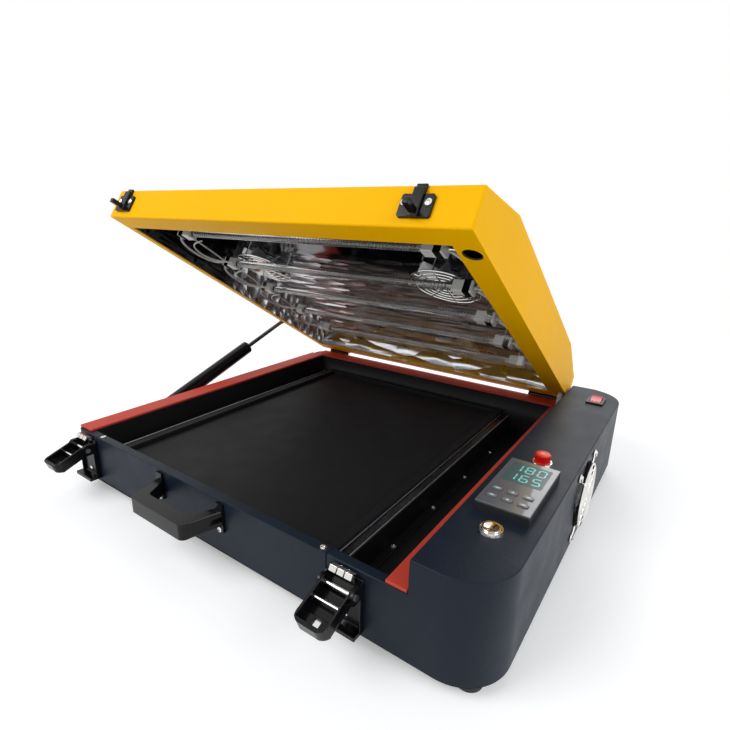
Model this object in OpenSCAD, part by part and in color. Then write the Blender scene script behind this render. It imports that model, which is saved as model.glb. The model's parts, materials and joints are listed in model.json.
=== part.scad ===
// Curing oven for printed transfer film: a low steel case with a drawer tray, a hinged lid that
// carries five quartz heating tubes and two fans, and a control box along the right side.
// The lid is drawn open, held by a gas strut. Each sub-part is its own module and its own solid.

/* [Case] */
// Width of the whole case, with the control box
case_w = 575; // [560:1:620]
// Depth of the case, front to back
case_d = 500; // [490:1:540]
// Width of the control box
box_w = 71; // [66:1:76]
// Height of the oven section's walls
rim_h = 64; // [62:1:72]
// Height of the control box
box_h = 96; // [94:1:115]
// Thickness of the case and lid steel
sheet = 1.5; // [1:0.1:2]
// Radius of the control box's upright corners
box_corner_r = 45; // [30:1:50]
// Radius of the case's left upright corners
left_corner_r = 12; // [6:1:18]
// Width of the flat rim on the left
rim_left_w = 30; // [26:1:34]
// Width of the flat rim at the back
rim_rear_w = 30; // [26:1:36]
// Width of the flat rim beside the control box
rim_right_w = 22; // [18:1:24]
// Depth of the folded lip on the front posts and the drawer front
post_lip_w = 10; // [6:1:14]
// Height of the cavity floor above the underside
floor_z = 10; // [8:1:12]
// Thickness of the insulation boards behind the cavity walls
board_t = 18; // [12:1:20]
// Thickness of the silicone seal strips
seal_t = 3; // [2:0.5:4]
// Margin between a seal strip and the edge of the rim
seal_inset = 1; // [0.5:0.5:3]

/* [Feet] */
// Height of a rubber foot
foot_h = 12; // [8:1:20]
// Radius of a rubber foot at its top
foot_r = 14; // [10:1:16]
// How much smaller the foot's sole is in radius
foot_taper = 2; // [0:0.5:4]
// Distance of the left feet from the case's sides
foot_inset = 25; // [20:1:40]
// Distance of the right front foot from the corner's sides
foot_corner_inset = 26; // [24:1:36]
// Distance of the right rear foot from the right side
foot_right_inset = 55; // [45:1:65]

/* [Lid] */
// Opening angle of the lid
lid_open = 31.4; // [15:0.2:40]
// Gap between the closed lid and the seal strips
lid_gap = 0.3; // [0.2:0.1:1]
// Gap between the lid and the case's sides
lid_side_gap = 4; // [2:0.5:5]
// Height of the lid
lid_h = 64; // [60:1:72]
// Height of the lid's upright front and rear walls
lid_wall_h = 38; // [34:1:42]
// Depth of the sloping bands along the front and the rear of the lid
lid_slope_d = 82; // [70:1:95]
// Width of the folded flange around the lid's mouth
lid_flange_w = 26; // [22:1:30]
// Width of the same flange on the left
lid_flange_left_w = 14; // [12:1:20]
// Radius of the round hole in the flange
flange_hole_r = 9; // [6:0.5:10]
// Distance of that hole from the lid's front
flange_hole_y = 40; // [36:1:50]
// Gap between the lid and its reflector
reflector_gap = 8; // [6:0.5:9]
// Thickness of the reflector sheet
reflector_t = 1; // [0.8:0.1:1.2]
// Radius of the round badge
badge_r = 50; // [40:1:55]
// Height of the round badge
badge_h = 14; // [10:1:16]
// Width of the badge's ring
badge_ring_w = 13; // [9:1:15]

/* [Hinges] */
// Width of a hinge
hinge_w = 45; // [38:1:48]
// Distance of a hinge's middle from the lid's side
hinge_inset = 40; // [34:1:60]
// Thickness of a hinge leaf
leaf_t = 2.7; // [2:0.1:2.8]
// Height of the leaf on the case
leaf_base_h = 26; // [22:1:30]
// Height of the leaf on the lid
leaf_lid_h = 15; // [13:1:18]
// Radius of the hinge barrel
barrel_r = 5; // [4.5:0.1:5.1]
// Distance of the hinge axis behind the case
hinge_out = 8; // [8:0.1:9]
// Radius of a hinge pin
hinge_pin_r = 2.5; // [2:0.1:3]
// Gap between two knuckles
knuckle_gap = 0.3; // [0.2:0.1:0.6]
// Running clearance of a pin in its bore, on the radius
fit = 0.05; // [0.02:0.01:0.1]

/* [Gas strut] */
// Distance of the strut's axis from the case's left wall
strut_out = 15; // [14:0.5:20]
// Outer radius of the cylinder
cyl_r = 11; // [10.5:0.5:12]
// Wall of the cylinder
cyl_wall = 1.5; // [1:0.1:1.6]
// Distance from the lower eye to the cylinder's mouth
cyl_len = 206; // [190:1:225]
// Radius of the rod
rod_r = 3.5; // [3:0.5:4]
// Length of the rod from its eye to its inner end
rod_len = 150; // [130:1:170]
// Distance of the lower eye behind the front face
strut_low_y = 115; // [110:1:130]
// Height of the lower eye
strut_low_z = 37; // [34:1:42]
// Distance of the upper eye behind the front face, lid closed
strut_up_y = 386; // [380:1:395]
// Height of the upper eye above the lid's mouth
strut_up_z = 17; // [15:1:22]
// Radius of the studs that carry the eyes
stud_r = 4; // [3:0.5:4.5]
// Radius of an eye
eye_r = 8; // [7:0.5:9]
// Thickness of an eye
eye_t = 10; // [8:0.5:12]

/* [Drawer] */
// Distance of the drawer front from the case's left side
drawer_x = 50; // [50:1:54]
// Distance of the drawer front from the control box
drawer_right = 80; // [80:1:88]
// Gap around the drawer front
drawer_gap = 1; // [0.5:0.1:2]
// Height of the tray's underside
tray_z = 38; // [36:1:42]
// Height of the rim around the tray's flat
tray_rim_h = 6; // [4:0.5:8]
// Width of the tray's flat flange on each side
tray_flange_w = 11; // [8:1:14]
// Gap behind the tray
tray_back_gap = 8; // [4:1:12]
// Depth of the tray's side skirts
tray_skirt_h = 24; // [22:1:26]
// Width of a telescopic slide
slide_t = 12; // [11:0.5:12.5]
// Height of a telescopic slide
slide_h = 28; // [26:1:30]
// Height of a slide's underside
slide_z = 13; // [12:1:14]
// Thickness of the slides' steel
rail_t = 1.2; // [1:0.1:1.4]
// Running gap between the members of a slide
rail_gap = 0.3; // [0.2:0.1:0.5]
// Gap between a slide and the cavity's rear wall
slide_back_gap = 18; // [8:1:58]
// Distance of the slides from the front face
slide_front = 12; // [11:1:16]

/* [Handle] */
// Width of the handle at its feet
handle_w = 112; // [100:1:120]
// Width of the handle's grip
grip_w = 90; // [80:1:95]
// Distance that the handle stands out
handle_out = 42; // [36:1:46]
// Depth of the grip
grip_d = 15; // [12:1:18]
// Height of the grip
grip_h = 17; // [14:1:20]
// Height of the handle's feet
handle_foot_h = 32; // [28:1:36]
// Height of the middle of the handle
handle_z = 45; // [42:1:46]
// Thickness of the handle's arms
arm_t = 10; // [8:1:12]

/* [Latches] */
// Distance of the left latch from the case's left side
latch_left_x = 30; // [28:1:31]
// Distance of the right latch from the control box
latch_right_in = 57; // [34:1:59]
// Width of a latch base
latch_w = 36; // [35:1:37]
// Lowest point of a latch base
latch_low_z = 6; // [4:1:10]
// Height of a latch base
latch_h = 52; // [50:1:54]
// Thickness of a latch base and its ears
latch_t = 2.2; // [2:0.1:2.4]
// Height of the lever's pivot
lever_z = 49; // [48:0.5:50]
// Distance of the lever's pivot in front of the case
lever_out = 12; // [12:0.5:13]
// Reach of the lever from its pivot
lever_len = 40; // [39:0.5:42]
// Depth of the lever
lever_d = 14; // [13:0.5:14]
// Wall of the lever
lever_wall = 2; // [1.8:0.1:2.2]
// Side clearance of the lever between the ears
lever_side_gap = 0.3; // [0.2:0.1:0.5]
// Angle that the open lever is turned down from closed
lever_open = 110; // [95:1:112]
// Radius of a lever's pivot pin
lever_pin_r = 2; // [1.5:0.1:2.5]
// Distance of the catch hole from the pivot
catch_s = 31; // [30:0.5:32]
// Width of the catch hole
catch_w = 7; // [6:0.5:8]
// Width of the keeper on the lid
keeper_w = 30; // [26:1:32]
// Height of the keeper
keeper_h = 26; // [24:1:27]
// Thickness of the keeper's plate
keeper_t = 2.5; // [2:0.1:3]

/* [Control panel] */
// Width of the controller's front
ctrl_w = 48; // [46:1:50]
// Length of the controller's front
ctrl_l = 96; // [90:1:100]
// Distance of the controller from the case's front
ctrl_y = 92; // [90:1:100]
// Height of the controller above the panel
ctrl_h = 10; // [8:1:12]
// Gap between the controller's body and the power supply below it
ctrl_clear = 14.5; // [12.5:0.5:19.5]
// Thickness of the controller's front plate
face_t = 1.5; // [1.2:0.1:2]
// Width of a controller key
key_w = 9; // [8:0.5:10]
// Length of a controller key
key_l = 5.5; // [5:0.5:6]
// Height of a key above the front plate
key_h = 1; // [0.8:0.1:1.5]
// Distance between keys, middle to middle
key_pitch = 14; // [12:0.5:14.5]
// Gap around a moving button or key
button_gap = 0.3; // [0.2:0.1:0.5]
// Radius of the round push buttons
button_r = 8; // [7:0.5:9]
// Outer radius of the bezels around them
bezel_r = 10.5; // [10:0.5:12]
// Height of the bezels
bezel_h = 2.5; // [2:0.5:3.5]
// Distance of the steel button from the front
steel_y = 71; // [68:1:73]
// Distance of the red button from the front
red_y = 213; // [210:1:216]
// Height of the red button above its bezel
red_h = 9; // [7:1:12]
// Distance of the rocker switch from the rear
rocker_rear = 54; // [50:1:70]
// Distance of the rocker switch from the right side
rocker_inset = 28; // [26:1:32]
// Width of the rocker switch
rocker_w = 22; // [20:1:24]
// Length of the rocker switch
rocker_l = 30; // [28:1:32]
// Tilt of the rocker to each side
rocker_tilt = 9; // [6:1:12]

/* [Cooling fan] */
// Room between the fan's frame and the control box's top or underside
fan_margin = 8; // [7:0.5:10]
// Depth of the fan
fan_d = 25; // [20:1:28]
// Distance of the fan's middle from the front
fan_y = 262; // [258:1:270]
// Height of the fan's middle above the middle of the control box
fan_raise = 1; // [-1:0.5:2]
// Radius of the guard's wire
wire_r = 1.2; // [1:0.1:1.5]
// Distance that the guard stands out from the wall
guard_out = 6; // [5:0.5:8]
// Number of rings in a guard
guard_rings = 4; // [3:1:5]
// Number of fan blades
blades = 7; // [5:1:9]

/* [Power inlet] */
// Width of the inlet's flange
inlet_w = 50; // [48:1:52]
// Height of the inlet's flange
inlet_h = 28; // [26:1:30]
// Distance of the inlet's middle from the right side
inlet_inset = 53; // [45:1:54]
// Height of the inlet's middle
inlet_z = 18; // [17:1:24]

/* [Heating tubes] */
// Number of quartz tubes
tubes = 5; // [3:1:5]
// Distance between tubes, middle to middle
tube_pitch = 86; // [80:1:88]
// Radius of a quartz tube
tube_r = 5.5; // [4:0.5:6]
// Distance of a tube's end from the reflector's side
tube_end_gap = 55; // [51:1:66]
// Height of the tubes above the lid's mouth
tube_z = 24; // [22:0.5:25]
// Length of a ceramic end
ceramic_l = 24; // [20:1:28]
// Side of a ceramic end
ceramic_w = 14; // [12:1:16]
// Radius of the heating leads
lead_r = 1.8; // [1.5:0.1:2]
// Radius of the lid fans' guards
lid_fan_r = 42; // [36:1:44]
// Distance of the left lid fan from the lid's left side
lid_fan_inset = 88; // [87:1:110]
// Distance of the lid fans from the lid's front
lid_fan_y = 192; // [188:1:200]
// Height of the lid fans' guards above the lid's mouth
lid_guard_z = 33; // [32:0.5:35]
// Radius of the lead conduit at the rear corner
conduit_r = 4; // [3:0.5:4.5]
// Distance of the conduit from the hinge axis
conduit_arc_r = 37; // [36.5:0.1:38]

/* [Hidden] */
$fn = 48;

// Overrun of every cut
over = 0.5;
// Radius of a small screw's shank and of its head, and the head's height
screw_r = 1.6;
screw_head_r = 3.2;
screw_head_h = 1.8;
// Places that follow from the driving sizes
oven_w = case_w - box_w;
box_x = oven_w;
panel_x = (box_x + case_w) / 2;
lid_z = rim_h + seal_t + lid_gap;
lid_x0 = lid_side_gap;
lid_x1 = oven_w - lid_side_gap;
lid_y0 = sheet;
axis_y = case_d + hinge_out;
axis_z = (rim_h + lid_z) / 2;
roof_z = lid_z + lid_h;
strut_up = [strut_up_y, lid_z + strut_up_z];
strut_up_open = turned(strut_up, lid_open);
strut_dy = strut_up_open[0] - strut_low_y;
strut_dz = strut_up_open[1] - strut_low_z;
strut_len = sqrt(strut_dy * strut_dy + strut_dz * strut_dz);
strut_angle = atan2(strut_dz, strut_dy);
lever_tip_y = -lever_out - lever_len * sin(lever_open) + lever_d / 2 * cos(lever_open);
lid_back = turned([case_d, lid_z + lid_wall_h], lid_open);
// The middle of the whole object's box, which stands over the origin
x_mid = (case_w + guard_out - strut_out - cyl_r) / 2;
y_mid = (lever_tip_y + lid_back[0]) / 2;

// A point of the closed lid, in y and z, after the lid has opened
function turned(p, a) = [
  axis_y + (p[0] - axis_y) * cos(a) + (p[1] - axis_z) * sin(a),
  axis_z - (p[0] - axis_y) * sin(a) + (p[1] - axis_z) * cos(a)
];

// Puts a piece that is drawn from the case's front left corner into the object's own frame
module placed() {
  translate([-x_mid, -y_mid, foot_h]) children();
}

// Opens a piece that is drawn on the closed lid, and places it
module on_lid() {
  placed() translate([0, axis_y, axis_z]) rotate([-lid_open, 0, 0])
    translate([0, -axis_y, -axis_z]) children();
}

// A box from its lowest to its highest corner
module block(low, high) {
  translate(low) cube(high - low);
}

// A rectangle with a radius for each corner: front left, front right, rear right, rear left
module corner_rect(low, high, r) {
  polygon([
    [low[0] + r[0], low[1]], [high[0] - r[1], low[1]], [high[0], low[1] + r[1]],
    [high[0], high[1] - r[2]], [high[0] - r[2], high[1]], [low[0] + r[3], high[1]],
    [low[0], high[1] - r[3]], [low[0], low[1] + r[0]]
  ]);
  translate([low[0] + r[0], low[1] + r[0]]) circle(r[0]);
  translate([high[0] - r[1], low[1] + r[1]]) circle(r[1]);
  translate([high[0] - r[2], high[1] - r[2]]) circle(r[2]);
  translate([low[0] + r[3], high[1] - r[3]]) circle(r[3]);
}

// A rounded block that stands on z
module round_block(low, high, r) {
  translate([0, 0, low[2]]) linear_extrude(high[2] - low[2])
    corner_rect([low[0], low[1]], [high[0], high[1]], [r, r, r, r]);
}

// A cylinder along x, y or z from a point
module rod_x(p, len, r) {
  translate(p) rotate([0, 90, 0]) cylinder(h = len, r = r);
}
module rod_y(p, len, r) {
  translate(p) rotate([-90, 0, 0]) cylinder(h = len, r = r);
}
module rod_z(p, len, r) {
  translate(p) cylinder(h = len, r = r);
}

// A screw: its head stands off the face along z, and its shank goes down through the face
module screw(depth) {
  if (depth > 0) translate([0, 0, -depth]) cylinder(h = depth, r = screw_r);
  cylinder(h = screw_head_h, r1 = screw_head_r, r2 = screw_head_r - screw_head_h / 2);
}

// Case

left_r = left_corner_r;
case_r = [left_r, box_corner_r, box_corner_r, left_r];
drawer_w = oven_w - drawer_x - drawer_right;
rocker_y = case_d - rocker_rear;
inlet_x = case_w - inlet_inset;
// Height of the power supply, which stands below the controller
supply_h = 30;
ctrl_body_d = box_h - sheet - supply_h - ctrl_clear;
// Inner faces of the rim, where the cavity begins
cavity_x0 = rim_left_w;
cavity_x1 = oven_w - rim_right_w;
cavity_y1 = case_d - rim_rear_w;
drawer_x1 = drawer_x + drawer_w;
gate_x0 = drawer_x - drawer_gap;
gate_x1 = drawer_x1 + drawer_gap;
ctrl_x = panel_x - ctrl_w / 2;
ctrl_step = 1.5;
rocker_x = case_w - rocker_inset;
fan_size = box_h - 2 * fan_margin;
fan_z = box_h / 2 + fan_raise;
fan_hole_r = fan_size / 2 - sheet;
conduit_x = oven_w - rim_right_w / 2;
conduit_y = axis_y - conduit_arc_r;
conduit_hole_r = conduit_r + 2 * sheet;

module case_outline(inset) {
  r = [for (v = case_r) v - inset];
  corner_rect([inset, inset], [case_w - inset, case_d - inset], r);
}

module base_case() {
  color([0.13, 0.15, 0.18]) placed() difference() {
    union() {
      linear_extrude(rim_h) case_outline(0);
      intersection() {
        linear_extrude(box_h) case_outline(0);
        block([box_x, -over, 0], [case_w + over, case_d + over, box_h]);
      }
    }
    // The hollow of the control box, which leaves its own left wall
    intersection() {
      translate([0, 0, -over]) linear_extrude(box_h - sheet + over) case_outline(sheet);
      block([box_x + sheet, 0, -over], [case_w, case_d, box_h - sheet]);
    }
    // The hollow under the rim
    intersection() {
      translate([0, 0, -over]) linear_extrude(rim_h - sheet + over) case_outline(sheet);
      block([0, 0, -over], [box_x, case_d, rim_h - sheet]);
    }
    // The cavity's mouth in the rim
    block([cavity_x0, post_lip_w, 0], [cavity_x1, cavity_y1, rim_h + over]);
    // The gate that the drawer front fills
    block([gate_x0, -over, -over], [gate_x1, post_lip_w + over, rim_h + over]);
    // Openings of the panel, the fan, the inlet and the lead conduit
    block([ctrl_x + ctrl_step, ctrl_y + ctrl_step, box_h - sheet - over],
      [ctrl_x + ctrl_w - ctrl_step, ctrl_y + ctrl_l - ctrl_step, box_h + over]);
    for (y = [steel_y, red_y])
      rod_z([panel_x, y, box_h - sheet - over], sheet + 2 * over, button_r + sheet);
    block([rocker_x - rocker_w / 2 + sheet, rocker_y - rocker_l / 2 + sheet, box_h - sheet - over],
      [rocker_x + rocker_w / 2 - sheet, rocker_y + rocker_l / 2 - sheet, box_h + over]);
    rod_x([case_w - sheet - over, fan_y, fan_z], sheet + 2 * over, fan_hole_r);
    inlet_cut();
    rod_z([conduit_x, conduit_y, rim_h - sheet - over], sheet + 2 * over, conduit_hole_r);
  }
}

module bottom_plate() {
  vents = 6;
  vent_w = 2 * sheet;
  vent_pitch = 4 * vent_w;
  color([0.1, 0.11, 0.13]) placed() difference() {
    linear_extrude(sheet) case_outline(sheet);
    for (i = [0 : vents - 1])
      block([panel_x - button_r * 2, fan_y + (i - vents / 2) * vent_pitch, -over],
        [panel_x + button_r * 2, fan_y + (i - vents / 2) * vent_pitch + vent_w, sheet + over]);
    block([box_x, -over, -over], [box_x + sheet, case_d + over, sheet + over]);
  }
}

module cavity_liner() {
  wall = sheet;
  x0 = cavity_x0 - wall;
  x1 = cavity_x1 + wall;
  y1 = cavity_y1 + wall;
  top = rim_h - sheet;
  color([0.09, 0.1, 0.11]) placed() difference() {
    block([x0, sheet, sheet], [x1, y1, top]);
    block([cavity_x0, 0, floor_z + wall], [cavity_x1, cavity_y1, top + over]);
    // The space under the floor
    block([cavity_x0, 0, 0], [cavity_x1, cavity_y1, floor_z]);
  }
}

module insulation_boards() {
  low = 2 * sheet;
  high = rim_h - 2 * sheet;
  gap = sheet;
  color([0.85, 0.83, 0.75]) placed() {
    // Left board
    block([cavity_x0 - sheet - board_t / 2 - gap, left_r + gap, low - sheet],
      [cavity_x0 - sheet, cavity_y1 - gap, high]);
    // Rear board
    block([cavity_x0, cavity_y1 + sheet, low - sheet],
      [cavity_x1 - rim_right_w, cavity_y1 + sheet + board_t, high]);
  }
}

foot_places = [
  [foot_inset, foot_inset], [foot_inset, case_d - foot_inset],
  [case_w - foot_corner_inset, foot_corner_inset], [case_w - foot_right_inset, case_d - foot_inset]
];

module rubber_feet() {
  bolt_r = foot_r / 4;
  color([0.05, 0.05, 0.05]) placed() for (p = foot_places) difference() {
    translate([p[0], p[1], -foot_h]) cylinder(h = foot_h, r1 = foot_r - foot_taper, r2 = foot_r);
    rod_z([p[0], p[1], -foot_h - over], foot_h / 2 + over, bolt_r);
  }
}

module seal_strips() {
  z0 = rim_h;
  color([0.78, 0.2, 0.13]) placed() difference() {
    union() {
      block([seal_inset, left_r, z0], [cavity_x0 - seal_inset, cavity_y1, z0 + seal_t]);
      block([left_r, cavity_y1, z0], [box_x - seal_inset, case_d - seal_inset, z0 + seal_t]);
      block([cavity_x1 + seal_inset, seal_inset, z0], [box_x - seal_inset, cavity_y1, z0 + seal_t]);
      block([seal_inset, seal_inset + 2 * sheet, z0],
        [cavity_x0 - seal_inset, left_r, z0 + seal_t]);
    }
    rod_z([conduit_x, conduit_y, z0 - over], seal_t + 2 * over, conduit_hole_r);
  }
}

// Drawer and slides

tray_x0 = drawer_x + slide_t - drawer_gap;
tray_x1 = drawer_x1 - slide_t + drawer_gap;
tray_y1 = cavity_y1 - tray_back_gap;
slide_side = [[0, tray_x0 - slide_t], [1, tray_x1 + slide_t]];

// A slide member on each side, as a channel lying on its web
module rail_pair(z0, z1, near, far, web_near, len_y0, len_y1) {
  for (s = slide_side) translate([s[1], 0, 0]) mirror([s[0], 0, 0]) difference() {
    block([near, len_y0, z0], [far, len_y1, z1]);
    if (web_near) block([near + rail_t, len_y0 - over, z0 + rail_t],
      [far + over, len_y1 + over, z1 - rail_t]);
    else block([near - over, len_y0 - over, z0 + rail_t],
      [far - rail_t, len_y1 + over, z1 - rail_t]);
  }
}

step = rail_t + rail_gap;
slide_y0 = slide_front;
slide_y1 = cavity_y1 - slide_back_gap;
slide_len = slide_y1 - slide_y0;

module rail_brackets() {
  foot_w = 7 * sheet;
  color([0.1, 0.1, 0.11]) placed() for (s = slide_side) translate([s[1], 0, 0])
    mirror([s[0], 0, 0]) {
      block([-sheet, slide_y0, floor_z + sheet], [0, slide_y1, slide_z + slide_h]);
      block([-foot_w, slide_y0, floor_z + sheet], [-sheet, slide_y1, floor_z + 2 * sheet]);
    }
}

module outer_rails() {
  color([0.5, 0.5, 0.52]) placed()
    rail_pair(slide_z, slide_z + slide_h, 0, slide_t - rail_gap, true, slide_y0, slide_y1);
}

module middle_rails() {
  color([0.55, 0.55, 0.57]) placed()
    rail_pair(slide_z + step, slide_z + slide_h - step, step, slide_t - rail_gap, true,
      slide_y0, slide_y1);
}

module inner_rails() {
  color([0.6, 0.6, 0.62]) placed()
    rail_pair(slide_z + 2 * step, slide_z + slide_h - 2 * step, 2 * step, slide_t, false,
      slide_y0, slide_y1);
}

front_z0 = 2 * drawer_gap;

module drawer_front() {
  color([0.13, 0.16, 0.2]) placed() {
    block([drawer_x, 0, front_z0], [drawer_x1, sheet, rim_h]);
    block([drawer_x, sheet, rim_h - sheet], [drawer_x1, post_lip_w, rim_h]);
    block([drawer_x, sheet, front_z0], [drawer_x1, post_lip_w - sheet, front_z0 + sheet]);
  }
}

module tray() {
  well_x0 = tray_x0 + tray_flange_w;
  well_x1 = tray_x1 - tray_flange_w;
  top = tray_z + sheet + tray_rim_h;
  well_y0 = sheet + tray_flange_w;
  well_y1 = tray_y1 - tray_flange_w;
  color([0.11, 0.11, 0.12]) placed() difference() {
    block([tray_x0, sheet, top - tray_skirt_h - tray_rim_h], [tray_x1, tray_y1, top]);
    // The well that holds the film
    block([well_x0, well_y0, tray_z + sheet], [well_x1, well_y1, top + over]);
    // The space below the well, and the space below the flanges around it
    block([tray_x0 + sheet, -over, 0], [tray_x1 - sheet, tray_y1 - sheet, tray_z]);
    for (x = [[tray_x0 + sheet, well_x0 - sheet], [well_x1 + sheet, tray_x1 - sheet]])
      block([x[0], -over, tray_z - over], [x[1], tray_y1 - sheet, top - sheet]);
    for (y = [[-over, well_y0 - sheet], [well_y1 + sheet, tray_y1 - sheet]])
      block([tray_x0 + sheet, y[0], tray_z - over], [tray_x1 - sheet, y[1], top - sheet]);
  }
}

handle_x = drawer_x + drawer_w / 2;

// The handle's outline from above: arms that lean in towards a rounded grip
module handle_outline(w, gw, y1, r) {
  polygon([
    [-w / 2, 0], [-gw / 2, y1 + r], [-gw / 2 + r, y1], [gw / 2 - r, y1], [gw / 2, y1 + r],
    [w / 2, 0]
  ]);
  for (side = [-1, 1]) translate([side * (gw / 2 - r), y1 + r]) circle(r);
}

module handle() {
  r = grip_d / 2;
  foot_t = 2 * sheet;
  z0 = handle_z - grip_h / 2;
  z1 = handle_z + grip_h / 2;
  foot_z0 = handle_z - handle_foot_h / 2;
  groove = grip_h / 3;
  color([0.06, 0.06, 0.07]) placed() translate([handle_x, 0, 0]) difference() {
    union() {
      translate([0, 0, z0]) linear_extrude(grip_h) difference() {
        handle_outline(handle_w, grip_w, -handle_out, r);
        handle_outline(handle_w - 2 * arm_t, grip_w - 2 * arm_t, -handle_out + grip_d, r);
      }
      for (side = [-1, 1])
        block([side * (handle_w / 2 - arm_t / 2) - arm_t / 2, -foot_t, foot_z0],
          [side * (handle_w / 2 - arm_t / 2) + arm_t / 2, 0, foot_z0 + handle_foot_h]);
    }
    // The groove that leaves an upper and a lower blade on each arm
    for (side = [-1, 1]) translate([side * handle_w / 2, 0, 0])
      block([-arm_t / 2, -handle_out + grip_d + r, handle_z - groove / 2],
        [arm_t / 2, -foot_t, handle_z + groove / 2]);
    // Screw holes in the feet
    for (side = [-1, 1])
      rod_y([side * (handle_w / 2 - arm_t / 2), -foot_t - over, foot_z0 + screw_head_r],
        foot_t + 2 * over, screw_r);
  }
}

module drawer_screws() {
  foot_t = 2 * sheet;
  foot_z0 = handle_z - handle_foot_h / 2;
  color([0.75, 0.75, 0.77]) placed() {
    for (side = [-1, 1])
      translate([handle_x + side * (handle_w / 2 - arm_t / 2), -foot_t, foot_z0 + screw_head_r])
        rotate([90, 0, 0]) screw(foot_t);
    for (x = [drawer_x, drawer_x1])
      translate([x + (x == drawer_x ? 1 : -1) * 2 * screw_head_r, post_lip_w / 2, rim_h])
        screw(0);
  }
}

// Latches

latch_right_x = oven_w - latch_right_in;
latch_places = [latch_left_x, latch_right_x];
ear_in = latch_w / 2 - latch_t;
lever_half = ear_in - lever_side_gap;
pin_head_h = 1.2;

// Draws on the closed lever, whose pivot is the origin and which points up
module lever_turned(x) {
  placed() translate([x, -lever_out, lever_z]) rotate([lever_open, 0, 0]) children();
}

module lever_outline() {
  half = lever_d / 2;
  nose = lever_d / 2;
  polygon([
    [-half, 0], [-half, lever_len - nose], [-half + nose / 2, lever_len], [half, lever_len],
    [half, 0]
  ]);
  circle(half);
}

module lever(x) {
  half = lever_d / 2;
  ledge = lever_d / 3;
  inner = lever_half - lever_wall;
  tip_r = lever_half / 2;
  end_wall = 2 * lever_wall;
  ledge_s = catch_s - catch_w / 2 - lever_wall;
  color([0.05, 0.05, 0.06]) lever_turned(x) difference() {
    // The profile in y and z, drawn across the lever's width
    intersection() {
      translate([-lever_half, 0, 0]) rotate([90, 0, 90]) linear_extrude(2 * lever_half)
        lever_outline();
      // The rounded end, seen from the front
      translate([0, lever_d, 0]) rotate([90, 0, 0]) linear_extrude(2 * lever_d)
        corner_rect([-lever_half, -lever_d], [lever_half, lever_len],
          [sheet, sheet, tip_r, tip_r]);
    }
    // The hollow, with a ledge at its far end
    block([-inner, -half + lever_wall, -half - over], [inner, half + over, ledge_s]);
    block([-inner, -half + ledge, ledge_s - over], [inner, half + over, lever_len - end_wall]);
    // The square hole that the keeper's tongue enters
    block([-catch_w / 2, -half - over, catch_s - catch_w / 2],
      [catch_w / 2, half + over, catch_s + catch_w / 2]);
    rod_x([-lever_half - over, 0, 0], 2 * lever_half + 2 * over, lever_pin_r + fit);
  }
}

module left_lever() {
  lever(latch_left_x);
}

module right_lever() {
  lever(latch_right_x);
}

module latch_bases() {
  ear_r = lever_d / 2;
  color([0.06, 0.06, 0.07]) placed() for (x = latch_places) translate([x, 0, 0]) difference() {
    union() {
      block([-latch_w / 2, -latch_t, latch_low_z], [latch_w / 2, 0, latch_low_z + latch_h]);
      for (side = [-1, 1])
        translate([side * (ear_in + latch_t / 2) - latch_t / 2, 0, 0]) {
          rod_x([0, -lever_out, lever_z], latch_t, ear_r);
          block([0, -lever_out, lever_z - ear_r], [latch_t, 0, lever_z + ear_r]);
          block([0, -lever_out / 2, latch_low_z], [latch_t, 0, lever_z]);
        }
      // The toe that the lever's base ends in
      block([-latch_w / 2, -lever_out - latch_t, latch_low_z],
        [latch_w / 2, 0, latch_low_z + 2 * latch_t]);
    }
    rod_x([-latch_w / 2 - over, -lever_out, lever_z], latch_w + 2 * over, lever_pin_r);
  }
}

// The pivot pins with their riveted heads, and the spring claw that snaps the lever over
module latch_metal() {
  claw_half = lever_half - 2 * lever_wall;
  claw_top = lever_z + 2 * lever_d / 2 + lever_wall;
  claw_z = latch_low_z + latch_h - 2 * latch_t;
  color([0.8, 0.78, 0.74]) placed() for (x = latch_places) translate([x, 0, 0]) {
    rod_x([-latch_w / 2, -lever_out, lever_z], latch_w, lever_pin_r);
    for (side = [-1, 1])
      rod_x([side * latch_w / 2 - (side < 0 ? pin_head_h : 0), -lever_out, lever_z],
        pin_head_h, lever_pin_r + sheet / 2);
    difference() {
      translate([-claw_half, 0, 0]) rotate([90, 0, 90]) linear_extrude(2 * claw_half) polygon([
        [-latch_t, claw_z], [-latch_t, claw_top - latch_t], [-lever_out / 2 - latch_t, claw_top],
        [-lever_out + latch_t / 2, claw_top - 2 * latch_t], [-lever_out / 2, claw_top - latch_t],
        [-2 * latch_t, claw_z]
      ]);
      // Slits that leave three teeth
      for (side = [-1, 1])
        block([side * claw_half / 3 - latch_t / 4, -lever_out, claw_z + 2 * latch_t],
          [side * claw_half / 3 + latch_t / 4, -latch_t - over, claw_top + over]);
    }
  }
}

module keepers() {
  z0 = lever_z + catch_s - catch_w / 2 - sheet;
  boss = catch_w + 2 * sheet;
  tongue = catch_w - 2 * sheet / 2;
  y1 = lid_y0;
  tip = -lever_out - lever_d / 2 + lever_d / 6;
  color([0.06, 0.06, 0.07]) on_lid() for (x = latch_places) translate([x, 0, 0]) {
    round_plate([-keeper_w / 2, y1 - keeper_t, z0], [keeper_w / 2, y1, z0 + keeper_h - boss / 2],
      keeper_t);
    // The boss that stands over the plate, and the tongue below it
    block([-boss / 2, y1 - 2 * keeper_t, z0], [boss / 2, y1 - keeper_t, z0 + keeper_h]);
    block([-boss / 2, y1 - keeper_t, z0 + keeper_h - boss], [boss / 2, y1, lid_z + lid_wall_h]);
    block([-tongue / 2, tip, lever_z + catch_s - tongue / 2],
      [tongue / 2, y1 - 2 * keeper_t, lever_z + catch_s + tongue / 2]);
  }
}

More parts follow.
